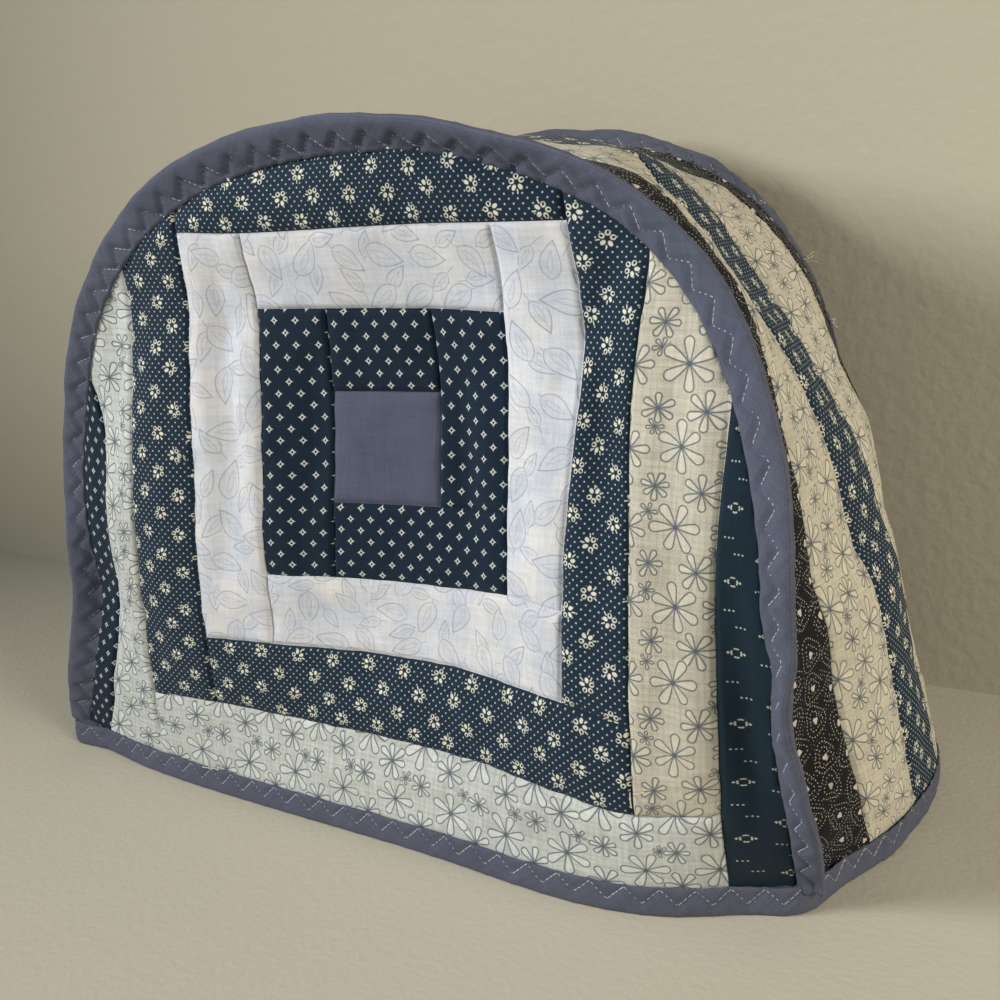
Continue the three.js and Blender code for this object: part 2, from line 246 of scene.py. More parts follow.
def shaken(x, y, dice, far_x, far_y):
    """A place in its cell, moved at random by up to half of far_x and far_y."""
    return x + (dice[1] - 0.5) * far_x, y + (dice[2] - 0.5) * far_y


def repeat(u, v, wide, high, step):
    """Rows of cells, each row shifted by step: the place within the cell, and the cell's numbers."""
    j = (v / high).whole()
    i = ((u - j * step) / wide).whole()
    x = u - j * step - (i + 0.5) * wide
    y = v - (j + 0.5) * high
    return x, y, i, j


def mottle(tree, u, v, size, seed, stretch=1.0):
    """Soft cloudy unevenness, 0 to 1, in clouds about size across."""
    join = tree.nodes.new("ShaderNodeCombineXYZ")
    tree.links.new((u * stretch).socket, join.inputs[0])
    tree.links.new(v.socket, join.inputs[1])
    join.inputs[2].default_value = seed
    cloud = tree.nodes.new("ShaderNodeTexNoise")
    cloud.inputs["Scale"].default_value = 1 / size
    cloud.inputs["Detail"].default_value = 2.0
    tree.links.new(join.outputs[0], cloud.inputs["Vector"])
    return Spot(tree, cloud.outputs["Fac"])


def blend(tree, share, under, over):
    """The colour under, with the colour over laid on it by share. Either may be a socket."""
    mix = tree.nodes.new("ShaderNodeMix")
    mix.data_type = "RGBA"
    tree.links.new(share.socket, mix.inputs[0])
    for place, colour in ((6, under), (7, over)):
        if isinstance(colour, tuple):
            mix.inputs[place].default_value = (*colour, 1)
        else:
            tree.links.new(colour, mix.inputs[place])
    return mix.outputs[2]


def cotton(name, printed, bias=False):
    """A plain woven cotton. printed(tree, u, v) gives its colour from the cloth's own millimetres."""
    material = bpy.data.materials.new(name)
    material.use_nodes = True
    tree = material.node_tree
    shader = tree.nodes["Principled BSDF"]
    cloth = tree.nodes.new("ShaderNodeUVMap")
    cloth.uv_map = "cloth"
    parts = tree.nodes.new("ShaderNodeSeparateXYZ")
    tree.links.new(cloth.outputs[0], parts.inputs[0])
    u = Spot(tree, parts.outputs[0])
    v = Spot(tree, parts.outputs[1])
    colour = printed(tree, u, v)
    if bias:
        half_root = 0.7071
        u, v = (u + v) * half_root, (v - u) * half_root
    warp = (u * (FULL_TURN / THREADS_APART)).sine()
    weft = (v * (FULL_TURN / THREADS_APART)).sine()
    slubs = mottle(tree, u, v, SLUB_SIZE, 3, SLUB_STRETCH) + mottle(tree, v, u, SLUB_SIZE, 4, SLUB_STRETCH)
    height = (warp * weft) * 0.5 + slubs * 1.3
    clouds = mottle(tree, u, v, CLOUD_SIZE, 5)
    tone = EVEN_TONE + CLOUD_TONE * clouds + SLUB_TONE * slubs + THREAD_TONE * warp * weft
    shade = tree.nodes.new("ShaderNodeVectorMath")
    shade.operation = "SCALE"
    tree.links.new(colour, shade.inputs[0])
    tree.links.new(tone.socket, shade.inputs["Scale"])
    tree.links.new(shade.outputs[0], shader.inputs["Base Color"])
    bump = tree.nodes.new("ShaderNodeBump")
    bump.inputs["Strength"].default_value = 0.8
    bump.inputs["Distance"].default_value = THREAD_RELIEF * MM
    tree.links.new(height.socket, bump.inputs["Height"])
    tree.links.new(bump.outputs[0], shader.inputs["Normal"])
    shader.inputs["Roughness"].default_value = 0.92
    shader.inputs["Specular IOR Level"].default_value = 0.15
    shader.inputs["Sheen Weight"].default_value = 0.05
    shader.inputs["Sheen Roughness"].default_value = 0.5
    return material


def plain(colour):
    """A cotton dyed one colour."""
    def printed(tree, u, v):
        return blend(tree, mottle(tree, u, v, 9, 8), colour, tuple(1.12 * c for c in colour))
    return printed


def diamonds(tree, u, v):
    """Navy, with small hollow white four-pointed stars in staggered rows."""
    apart = 7.35
    pinch = 0.66
    hollow = 0.50
    x, y, _, _ = repeat(u, v, apart, 3.7, apart / 2)
    points = (x.size() / 1.42).power(pinch) + (y.size() / 1.34).power(pinch)
    star = points.inside(1.0, 0.13) * (1 - (x.size() + y.size()).inside(hollow, 0.12))
    ground = (0.0065, 0.0180, 0.0360)
    ink = (0.66, 0.70, 0.68)
    return blend(tree, star * 0.9, ground, ink)


def leaf(x, y, long, wide):
    """Distance out from the edge of a pointed leaf that lies along x, broadest towards its stem."""
    belly = x + 0.24 * (long * long - x * x) / long
    bow = (long * long + wide * wide) / (2 * wide)
    return away(belly, y.size() + (bow - wide)) - bow


def leaves(tree, u, v):
    """Mottled pale ground, with thin grey-blue outlined leaves, each with its rib and a curled stem."""
    lines = u * 0.0
    fills = u * 0.0
    small_leaf = (4.6, 2.2, 23, 7.4, 6.2)
    large_leaf = (5.9, 3.1, 11, 0.0, 0.0)
    for long, broad, seed, right, up in (small_leaf, large_leaf):
        x, y, i, j = repeat(u + right, v + up, 14.4, 12.6, 6.1)
        dice = chance(i, j, seed)
        x, y = shaken(x, y, dice, 3.4, 3.0)
        x, y = turned(x, y, dice[0])
        scale = 0.88 + 0.24 * dice[2]
        x = x / scale
        y = y / scale + (dice[1] - 0.5) * 0.05 * x * x
        rim = leaf(x, y, long, broad)
        rib = leaf(x + 0.6, y, long * 0.60, broad * 0.26)
        stem = (y - 0.055 * (x + long) * (x + long)).size().inside(0.11, 0.12)
        stem = stem * (x + long * 1.55).size().inside(long * 0.58)
        body = rim.inside(0.0)
        drawn = rim.size().inside(0.14, 0.12).larger(stem).larger(rib.size().inside(0.10, 0.11) * 0.7)
        lines = lines * (1 - body) * (1 - rim.inside(0.6, 0.3)) + drawn
        fills = fills * (1 - body) + body * (0.5 + 0.5 * dice[1])
    clouds = (mottle(tree, u, v, 13, 2) - 0.36) * 3.2
    cool = (0.555, 0.598, 0.685)
    warm = (0.672, 0.672, 0.688)
    fill = (0.50, 0.54, 0.64)
    ink = (0.20, 0.24, 0.33)
    ground = blend(tree, fills * 0.30, blend(tree, clouds, cool, warm), fill)
    return blend(tree, (lines * 0.7).smaller(0.7), ground, ink)


def calico(tree, u, v):
    """Navy with pin dots all over, and cream sprigs in uneven rows: three eyed petals and two plain."""
    navy = (0.0115, 0.026, 0.047)
    pin_ink = (0.60, 0.66, 0.68)
    cream = (0.71, 0.72, 0.62)
    petals = 5
    soft = 0.12
    x, y, _, _ = repeat(u, v, 2.7, 1.33, 1.35)
    pins = away(x, y).inside(0.24, 0.14)
    x, y, i, j = repeat(u, v, 13.8, 6.9, 7.4)
    dice = chance(i, j, 5)
    x, y = shaken(x, y, dice, 1.8, 1.3)
    far = away(x, y)
    turn = (heading(x, y) + dice[0]).rest() * petals
    sector = (turn.rest() - 0.5) * (FULL_TURN / petals)
    px = far * sector.cosine()
    py = far * sector.sine()
    plain_petal = (2.5 - turn.whole()).inside(0.0, 0.01)
    eye = away((px - 1.62) * 0.75, py).inside(0.36, soft)
    eyed = away(px - 1.50, py * 1.06).inside(0.78, soft) * (1 - eye)
    whole = away((px - 1.60) * 0.82, py * 1.15).inside(0.66, soft)
    spikes = u * 0.0
    for at in (3.0, 4.0):
        spike = ((turn - at).size() * far * (FULL_TURN / petals)).inside(0.17, 0.1)
        spikes = spikes.larger(spike * (far - 2.45).size().inside(0.62))
    head = (eyed * (1 - plain_petal) + whole * plain_petal).larger(spikes)
    head = head * (1 - far.inside(0.52, soft))
    clear = 1 - far.inside(2.3, 0.3)
    dotted = blend(tree, pins * clear * 0.85, navy, pin_ink)
    worn = (0.72 + 0.5 * mottle(tree, u, v, 1.2, 17)).smaller(1.0)
    return blend(tree, head * worn, dotted, cream)


def daisy(u, v, right, up, half, petals, seed):
    """One size of outlined daisy, once in each cell: its lines, its petals, its reach and its eye."""
    x, y, i, j = repeat(u + right, v + up, 21.5, 20.0, 9.7)
    dice = chance(i, j, seed)
    drift = 1.4 if half > 4 else 2.0
    x, y = shaken(x, y, dice, drift, drift)
    size = 0.93 + 0.14 * dice[1]
    count = petals + (dice[2] * 1.3).whole()
    turn = (heading(x, y) + dice[0]).rest() * count
    uneven = (turn.whole() * 2.4 + dice[0] * 6.3).sine()
    far = away(x, y) / (size * (1 + 0.06 * uneven))
    sector = (turn.rest() - 0.5 + 0.05 * uneven) * FULL_TURN / count
    px = far * sector.cosine()
    share = (px / half).smaller(1.0).larger(0.0)
    py = ((far * sector.sine()).size() - share * (1 - share) * 0.16 * half).larger(0.0)
    blunt = half * 0.175
    shaft = half - blunt
    lean = math.asin(blunt / shaft)
    side = py * math.cos(lean) - px * math.sin(lean)
    tip = away(px - shaft, py) - blunt
    before_tip = (px * math.cos(lean) + py * math.sin(lean)).inside(shaft * math.cos(lean), 0.01)
    rim = side * before_tip + tip * (1 - before_tip)
    eye = far.inside(0.10 * half + 0.15, 0.2)
    lines = rim.size().inside(0.21, 0.14) * far.inside(half + 0.5)
    return lines.larger(eye), rim.inside(0.0), rim.inside(0.35, 0.2), eye


# The daisies from the smallest up: place in the cell across and up, reach, petals, and a seed.
DAISY_SIZES = (
    (-4.5, -8.25, 2.3, 5, 43),
    (-1.0, 12.8, 3.9, 6, 45),
    (10.5, 6.4, 5.2, 6, 42),
    (0.0, 0.0, 7.2, 6, 41),
)


def daisies(warmth):
    """Pale ground hatched like slub linen, with grey-blue outlined daisies in four sizes."""
    # warmth is the share of the warm tint laid on the linen ground: at 0.2 it is the cotton's own tint, and
    # at 1.0 it adds painted warm sunlight.
    linen = (0.50, 0.545, 0.55)
    tint_and_painted_sunlight = (-0.02, -0.085, -0.165)
    warm = tuple(a + warmth * b for a, b in zip(linen, tint_and_painted_sunlight))

    def printed(tree, u, v):
        heads = [daisy(u, v, *sizes) for sizes in DAISY_SIZES]
        lines, petals, _, eyes = heads[0]
        for drawn, inside, reach, eye in heads[1:]:
            lines = drawn.larger((1 - reach) * lines)
            petals = inside.larger((1 - reach) * petals)
            eyes = eye.larger((1 - reach) * eyes)
        across = (v + 0.5 * mottle(tree, u, v, 9, 13)) / 1.75
        down = (u + 0.5 * mottle(tree, u, v, 9, 14)) / 1.85
        broken = mottle(tree, u, v, 2.2, 15, stretch=0.6)
        hatch = (across.rest() - 0.5).size().inside(0.10, 0.06)
        hatch = hatch + (down.rest() - 0.5).size().inside(0.10, 0.06)
        slub = mottle(tree, u, v, 1.6, 6, stretch=0.10) + mottle(tree, v, u, 1.6, 7, stretch=0.10)
        dark, light = [tuple(share * c for c in warm) for share in (0.86, 1.12)]
        ground = blend(tree, (slub - 0.55) * 1.6, dark, light)
        ground = blend(tree, (hatch * broken * 0.42).smaller(0.3), ground, (0.25, 0.245, 0.215))
        ground = blend(tree, petals * 0.62, ground, tuple(min(1.30 * c, 0.75) for c in warm))
        drawn = blend(tree, eyes, (0.085, 0.105, 0.125), (0.05, 0.075, 0.13))
        return blend(tree, (lines * 0.9).smaller(0.9), ground, drawn)
    return printed


def rings_and_dashes(tree, u, v):
    """Dark teal navy, with small broken rings that have two knobs, and dashes of three dots."""
    y, x, _, _ = repeat(v, u, 20.3, 8.6, 6.8)
    far = away(x, y)
    broken = ((heading(x, y) * 4 + 0.5).rest() - 0.5).size().inside(0.34, 0.05)
    ring = (far - 1.22).size().inside(0.20, 0.12) * broken
    knobs = (x.size() - 1.95).size() + y.size()
    marks = ring.larger(knobs.inside(0.42, 0.12))
    for right, up in ((1.2, 8.2), (-1.6, 12.6)):
        y, x, _, _ = repeat(v + up, u + right, 20.3, 8.6, 6.8)
        dot = away(((x / 1.1 + 0.5).rest() - 0.5) * 1.1, y).inside(0.24, 0.12)
        marks = marks.larger(dot * x.size().inside(1.6))
    teal_navy = (0.0085, 0.022, 0.036)
    ink = (0.58, 0.60, 0.55)
    return blend(tree, marks * 0.85, teal_navy, ink)


cottons = {
    "slate": cotton("slate_cotton", plain(SLATE)),
    "diamond": cotton("diamond_print", diamonds),
    "leaf": cotton("leaf_print", leaves),
    "calico": cotton("calico_print", calico),
    # The second daisy cotton has its ground tinted warm by painted sunlight; it is used for the right strip
    # of the front and for the gusset.
    "daisy": cotton("daisy_print", daisies(0.2)),
    "daisy_warm": cotton("daisy_print_with_painted_sun", daisies(1.0)),
    "rings": cotton("ring_and_dash_print", rings_and_dashes),
    "backing": cotton("cotton_wrong_side", plain(WRONG_SIDE)),
}

# ---------- Front panel: its patchwork ----------
# Log cabin piecing: strips about an inch wide sewn round a slate square, each new strip over the ends of
# the last, in the order top, right, bottom, left. Seams are pressed into soft grooves, and they wander a
# little: each is given by its name and where it stands at a few heights or widths.
UPRIGHT_AT = (10, 60, 110, 160, 205)
UPRIGHT = {
    "left edge": (-152, -152, -142, -141, -140),
    "A": (-136, -124, -119, -131, -131),
    "B": (-102.5, -99.5, -98.5, -100, -98.5),
    "C": (-71, -69.5, -71, -71, -69.5),
    "D": (-42, -42.5, -44, -43.5, -44),
    "E": (-19, -19, -19.3, -18, -17),
    "F": (19.5, 19.5, 19.5, 20.5, 19.5),
    "G": (48, 48, 47.3, 47.5, 46),
    "H": (69.5, 69.5, 69.5, 74, 70),
    "I": (94, 92, 91, 90.5, 98),
    "J": (117.5, 116.5, 116.3, 120, 122),
    "right edge": (142, 141, 136, 136, 136),
}
LEVEL_AT = (-130, -71, -44, 20, 47, 70, 92, 117)
LEVEL = {
    "hem": (HEM_DEPTH,) * 8,
    "a": (33, 36, 36, 34.8, 34.8, 33.8, 32.6, 36.4),
    "b": (60, 62.3, 62.5, 62.8, 62.8, 63, 61, 61),
    "c": (88, 88, 87.5, 88, 90.3, 90.2, 90, 90),
    "d": (113, 113, 113, 113.8, 115.7, 116, 116, 116),
    "e": (150, 150, 150, 150.6, 150.6, 150, 150, 150),
    "f": (177, 177, 177.2, 176.7, 175.7, 176, 176, 176),
    "g": (203, 202.5, 201.3, 201.5, 200.8, 200.3, 200, 200),
    "top": (226,) * 8,
}
BLOCK_MIDDLE = 131
# Each strip: its cotton, its left, right, lower and upper seam, and the turn of its print.
PATCHES = (
    ("slate", "E", "F", "d", "e", 0),
    ("diamond", "E", "F", "e", "f", 0),
    ("diamond", "F", "G", "d", "f", 0),
    ("diamond", "E", "G", "c", "d", 0),
    ("diamond", "D", "E", "c", "f", 0),
    ("leaf", "D", "G", "f", "g", 0.5),
    ("leaf", "G", "H", "c", "g", 0.25),
    ("leaf", "D", "H", "b", "c", 0),
    ("leaf", "C", "D", "b", "g", 0.25),
    ("calico", "C", "H", "g", "top", 0),
    ("calico", "H", "I", "b", "top", 0.25),
    ("calico", "C", "I", "a", "b", 0),
    ("calico", "B", "C", "a", "top", 0.25),
    # The strip on the right is in the daisy cotton with painted warm sunlight.
    ("daisy_warm", "I", "J", "a", "top", 0.25),
    ("daisy", "B", "J", "hem", "a", 0),
    ("daisy", "A", "B", "hem", "top", 0.25),
    ("rings", "J", "right edge", "hem", "top", 0),
    ("diamond", "left edge", "A", "hem", "top", 0),
)
# Soft creases, listed one by one: middle x and z, half length, lean from upright in degrees, half width,
# and how far the cloth comes out (or goes in, below zero).
CREASES = (
    (-57, 142, 46, 2, 5.0, -2.3),
    (-48, 128, 34, -4, 3.6, 1.3),
    (-51, 174, 11, 60, 5.5, -1.6),
    (-66, 130, 60, 2, 4, 1.2),
    (-24, 138, 30, 6, 4.5, -1.5),
    (-38, 110, 40, -4, 6, 1.2),
    (-84, 120, 75, 0, 8, 1.5),
    (-108, 75, 45, -8, 7, 2.0),
    (-110, 150, 34, 6, 5, -2.2),
    (-124, 110, 40, 5, 6, -2.0),
    (29, 128, 26, 2, 5.5, -2.2),
    (40, 132, 40, -2, 5, 1.0),
    (60, 140, 62, -3, 7, 1.4),
    (78, 176, 22, 28, 4.5, -1.9),
    (82, 130, 46, 3, 4.5, -1.5),
    (74, 120, 50, 0, 4, 1.1),
    (104, 110, 60, 2, 6, -1.7),
    (113, 162, 30, 8, 5, 2.2),
    (110, 60, 40, 0, 7, 1.4),
    (123, 72, 44, -3, 5, -2.4),
    (-15, 75, 50, 82, 7, -1.0),
    (10, 48, 70, 86, 8, 1.4),
    (-25, 190, 40, 96, 7, 1.2),
    (20, 24, 60, 88, 6, 1.2),
)
CLOTH_THICK = 1.5
GRID = 2.2
BESIDE_SEAM = (0.35, 0.9, 1.9)
SEAM_GROOVE = 1.0
PUFF = 0.7
PUCKER = 0.42
# A seam allowance folded under a strip lifts it by ALLOWANCE_LIFT, over a width of ALLOWANCE.
ALLOWANCE_LIFT = 0.34
ALLOWANCE = 5.6


def cuts(lines):
    """Grid lines that fall on every seam, close together beside it and GRID apart elsewhere."""
    grid = [lines[0]]
    for low, high in zip(lines, lines[1:]):
        near = [low + gap for gap in BESIDE_SEAM]
        far = [high - gap for gap in reversed(BESIDE_SEAM)]
        steps = max(int(round((far[0] - near[-1]) / GRID)), 1)
        inner = [near[-1] + (far[0] - near[-1]) * k / steps for k in range(1, steps)]
        grid += near + inner + far + [high]
    return np.array(grid)


def between(seams, at, flat, other):
    """Where the flat place of a point comes to lie, between the wandering seams on either side of it."""
    flats = np.array([places[len(at) // 2] for places in seams.values()])
    places = np.array([smooth(at, seam, other).ravel() for seam in seams.values()])
    low = np.clip(np.searchsorted(flats, flat.ravel(), side="right") - 1, 0, len(flats) - 2)
    every = np.arange(flat.size)
    share = (flat.ravel() - flats[low]) / (flats[low + 1] - flats[low])
    return (places[low, every] * (1 - share) + places[low + 1, every] * share).reshape(flat.shape)


def build_mesh(name, points, corners, uvs, kinds, materials):
    """A piece from points in millimetres, quads, a place on the cloth for each corner, and materials."""
    mesh = bpy.data.meshes.new(name)
    mesh.from_pydata([tuple(p) for p in np.asarray(points) * MM], [], [tuple(q) for q in corners])
    cloth = mesh.uv_layers.new(name="cloth")
    cloth.data.foreach_set("uv", np.asarray(uvs, dtype=np.float32).ravel())
    for material in materials:
        mesh.materials.append(material)
    mesh.polygons.foreach_set("material_index", np.asarray(kinds, dtype=np.int32))
    mesh.polygons.foreach_set("use_smooth", np.ones(len(mesh.polygons), dtype=bool))
    mesh.update()
    piece = bpy.data.objects.new(name, mesh)
    bpy.context.scene.collection.objects.link(piece)
    return piece


def give_thickness(piece, last):
    """The inner side of a cloth, in its last material; the cut edge shows the printed cloth."""
    thick = piece.modifiers.new("thickness", "SOLIDIFY")
    thick.thickness = CLOTH_THICK * MM
    thick.offset = -1.0
    thick.material_offset = last
    thick.material_offset_rim = 0


def quilted(edge):
    """How the cloth stands at a distance from a seam: puffed up between, pulled into a groove on it."""
    shoulder = 3.5
    groove = 0.62
    return PUFF * (1 - np.exp(-edge / shoulder)) - SEAM_GROOVE * np.exp(-((edge / groove) ** 2))


def puckered(edge, flats, size, seed):
    """Small puckers that a seam draws up, which run square to it and die away from it."""
    reach = 6.0
    return PUCKER * np.exp(-edge / reach) * roll(flats, size, seed).reshape(edge.shape)


def above_hem(z):
    """0 where the hem holds the cloth flat, 1 from a little above it."""
    held = 9
    free = 12
    return np.clip((z - held) / free, 0, 1)


def waves(flats, hills, shape):
    """Soft waves, one on another: the height, size, seed and squeeze along the cloth of each."""
    return sum(high * roll(flats * (squeeze, 1, 1), size, seed).reshape(shape)
               for high, size, seed, squeeze in hills)


def creased(x, z, table):
    """How far soft creases push the cloth out at each point; each wanders a little as it runs."""
    wander = 17.0
    push = np.zeros_like(x)
    for mid_x, mid_z, long, degrees, wide, out in table:
        lean = math.radians(degrees)
        along = (x - mid_x) * math.sin(lean) + (z - mid_z) * math.cos(lean)
        across = (x - mid_x) * math.cos(lean) - (z - mid_z) * math.sin(lean)
        bend = across + 0.25 * wide * np.sin(along / wander)
        push += out * np.exp(-((bend / wide) ** 2)) * np.exp(-((along / long) ** 4))
    return push


def trimmed(face, x, z, lowest):
    """The grid's points, with those outside the face brought in to its rim, and which were inside."""
    inside = (np.abs(x) <= outline_half(face, x, z)) & (z < SPRING + OUTLINE[face]["rise"])
    rim_x, rim_z, _ = arch(face, np.linspace(0, SPRING, 161), 721)
    for i, j in np.argwhere(~inside):
        near = int(np.argmin((rim_x - x[i, j]) ** 2 + (rim_z - z[i, j]) ** 2))
        x[i, j] = rim_x[near]
        z[i, j] = max(rim_z[near], lowest)
    return x, z, inside


def strip_edges(p, q, flat_of, patches):
    """For the flat grid: distance to the side and end seams, lift of the allowances, and strip numbers."""
    far_off = 99.0
    side_gap = np.full(p.shape, far_off)
    end_gap = np.full(p.shape, far_off)
    lift = np.zeros(p.shape)
    owner = np.zeros((p.shape[0] - 1, p.shape[1] - 1), int)
    mid_p = (p[:-1, :-1] + p[1:, 1:]) / 2
    mid_q = (q[:-1, :-1] + q[1:, 1:]) / 2
    for number, patch in enumerate(patches):
        left, right, foot, head = [flat_of[seam] for seam in patch[1:5]]
        within = (p >= left) & (p <= right) & (q >= foot) & (q <= head)
        side_gap = np.where(within, np.minimum(side_gap, np.minimum(p - left, right - p)), side_gap)
        end_gap = np.where(within, np.minimum(end_gap, np.minimum(q - foot, head - q)), end_gap)
        if head - foot > right - left:
            from_middle = p - left if left > 0 else right - p
        else:
            from_middle = q - foot if foot > BLOCK_MIDDLE else head - q
        under = 1 - np.clip((from_middle - ALLOWANCE) / 1.4, 0, 1)
        lift = np.where(within & (number > 0), ALLOWANCE_LIFT * under, lift)
        owner[(mid_p > left) & (mid_p < right) & (mid_q > foot) & (mid_q < head)] = number
    return side_gap, end_gap, lift, owner


def patchwork(name, face, upright, level, patches, creases, facing, seed):
    """A pieced face: a grid that follows the seams, trimmed to the seam line, with its strips' prints."""
    flat_of = {seam: places[len(places) // 2] for seam, places in {**upright, **level}.items()}
    flat_z = cuts([flat_of[seam] for seam in level])
    p, q = np.meshgrid(cuts([flat_of[seam] for seam in upright]), flat_z, indexing="ij")
    x = between(upright, UPRIGHT_AT, p, q)
    z = between(level, LEVEL_AT, q, x)
    x = between(upright, UPRIGHT_AT, p, z)
    x, z, inside = trimmed(face, x, z, flat_z[0])
    side_gap, end_gap, lift, owner = strip_edges(p, q, flat_of, patches)
    flats = np.stack([p, q, 0 * p], -1).reshape(-1, 3)
    half = outline_half(face, x, z)
    sunk = 0.4
    rim = 6
    relief = quilted(np.minimum(side_gap, end_gap))
    relief = relief + (puckered(side_gap, flats * (0.25, 1, 1), 4.2, seed + 1)
                       + puckered(end_gap, flats * (1, 0.25, 1), 4.2, seed + 4))
    hills = ((1.3, 34.0, seed + 2, 1), (0.6, 13.0, seed + 3, 1), (0.34, 6.5, seed + 5, 1))
    relief = relief + waves(flats, hills, p.shape) + lift + creased(x, z, creases) - sunk
    near_rim = 1 - np.clip((half - np.abs(x)) / rim, 0, 1)
    relief = relief * (1 - near_rim * 0.8) * above_hem(z)
    share = np.clip(x / np.maximum(half, 1), -1, 1)
    y = face_y(face, share, z) + facing * CLOTH_THICK / 2 + facing * relief
    points = np.stack([x + MIDDLE[0], y + MIDDLE[1], z], -1).reshape(-1, 3)
    rows = len(flat_z)
    corners = []
    uvs = []
    kinds = []
    fabrics = sorted({patch[0] for patch in patches})
    rng = np.random.default_rng(seed)
    starts = rng.uniform(0, 300, (len(patches), 2))
    keep = inside[:-1, :-1] | inside[1:, :-1] | inside[:-1, 1:] | inside[1:, 1:]
    for i, j in np.argwhere(keep):
        quad = [(i, j), (i + 1, j), (i + 1, j + 1), (i, j + 1)]
        if facing > 0:
            quad.reverse()
        number = owner[i, j]
        angle = patches[number][5] * FULL_TURN
        corners.append([a * rows + b for a, b in quad])
        for a, b in quad:
            s = p[a, b] * math.cos(angle) + q[a, b] * math.sin(angle) + starts[number, 0]
            t = q[a, b] * math.cos(angle) - p[a, b] * math.sin(angle) + starts[number, 1]
            uvs.append((s, t))
        kinds.append(fabrics.index(patches[number][0]))
    materials = [cottons[fabric] for fabric in fabrics] + [cottons["backing"]]
    piece = build_mesh(name, points, corners, uvs, kinds, materials)
    give_thickness(piece, len(fabrics))
    return piece


front_panel = patchwork("patchwork_front", "front", UPRIGHT, LEVEL, PATCHES, CREASES, -1, 7)
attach(front_panel, "root")
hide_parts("front_panel")

# ---------- Back panel ----------
# The hidden face. It is cut from the calico in one piece, in much the same D shape, and sewn into the
# gusset as the front is. It has loose soft folds and no patchwork.
OUTLINE["back"] = {"halfL": 134, "halfR": 118, "rise": 134.5, "fullL": 2.2, "fullR": 2.3}
SPLAY["back"] = {
    "z": (10, 35, 65, 85, 100),
    "left": (14, 8, 4, 2, 0),
    "right": (18, 12, 5, 2, 0),
}
FACE["back"] = {
    "z": (10, 35, 65, 100, 140, 180, 215, 230),
    "seamL": (84, 80, 76, 72, 72, 74, 75, 75),
    "ridgeL": (94, 92, 88, 84, 80, 78, 76, 75),
    "hollow": (95, 91, 84, 77, 73, 72, 74, 75),
    "ridgeR": (94, 92, 88, 84, 80, 78, 76, 75),
    "seamR": (86, 80, 74, 70, 70, 72, 74, 75),
}
BACK_SIDES = {
    "left edge": (-152, -146, -138, -138, -138),
    "right edge": (140, 134, 122, 122, 122),
}
BACK_ENDS = {
    "hem": (HEM_DEPTH,) * 8,
    "top": (234,) * 8,
}
BACK_CREASES = (
    (-80, 110, 60, 6, 12, 1.8),
    (-20, 130, 80, -4, 14, -1.8),
    (45, 100, 60, 5, 12, 1.6),
    (88, 80, 50, -10, 9, -1.8),
    (0, 60, 70, 84, 10, 1.4),
)
WHOLE_CLOTH = (("calico", "left edge", "right edge", "hem", "top", 0.25),)
back_panel = patchwork("calico_back", "back", BACK_SIDES, BACK_ENDS, WHOLE_CLOTH, BACK_CREASES, 1, 19)
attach(back_panel, "root")
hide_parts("back_panel")

# ---------- Gusset ----------
# The wide band that joins the two faces up one side, over the top and down the other. Five long strips
# are joined side by side: hearts in pin dots, daisies, calico, daisies, hearts. It sags between the seams
# where the cloth is slack and swells out towards the hem: SWELL has a row for each edge and each seam.
GUSSET_LENGTH = 600.0
GUSSET_WIDTH = 168.0
SWELL_AT = (0, 0.12, 0.24, 0.34, 0.5, 0.58, 0.61, 0.64, 0.7, 0.76, 0.8, 0.83, 0.89, 0.95, 1.0)
SWELL = (
    (0,) * 15,
    (12, 9, 3, 1, 1, 1.5, 4.5, 7.5, 5, 3.5, 5.5, 7.5, 11, 14, 16),
    (20, 17, 5, -1, 1, 3, 6.5, 1.5, -1.5, 5.5, 10.5, 14, 23, 24, 25),
    (20, 17, 5, -1, 3, 5, 4, 1.8, -2, 5, 14.5, 20, 25, 26, 28),
    (12, 9, 3, 1, 4, -0.5, -0.5, 3, 5, 6.5, 13.5, 15, 16.5, 18, 20),
    (0,) * 15,
)
STRIP_SEAMS = (0, 0.2, 0.4, 0.6, 0.8, 1)
# The gusset's daisy strips are in the daisy cotton with painted warm sunlight.
STRIP_PRINTS = ("hearts", "daisy_warm", "calico", "daisy_warm", "hearts")


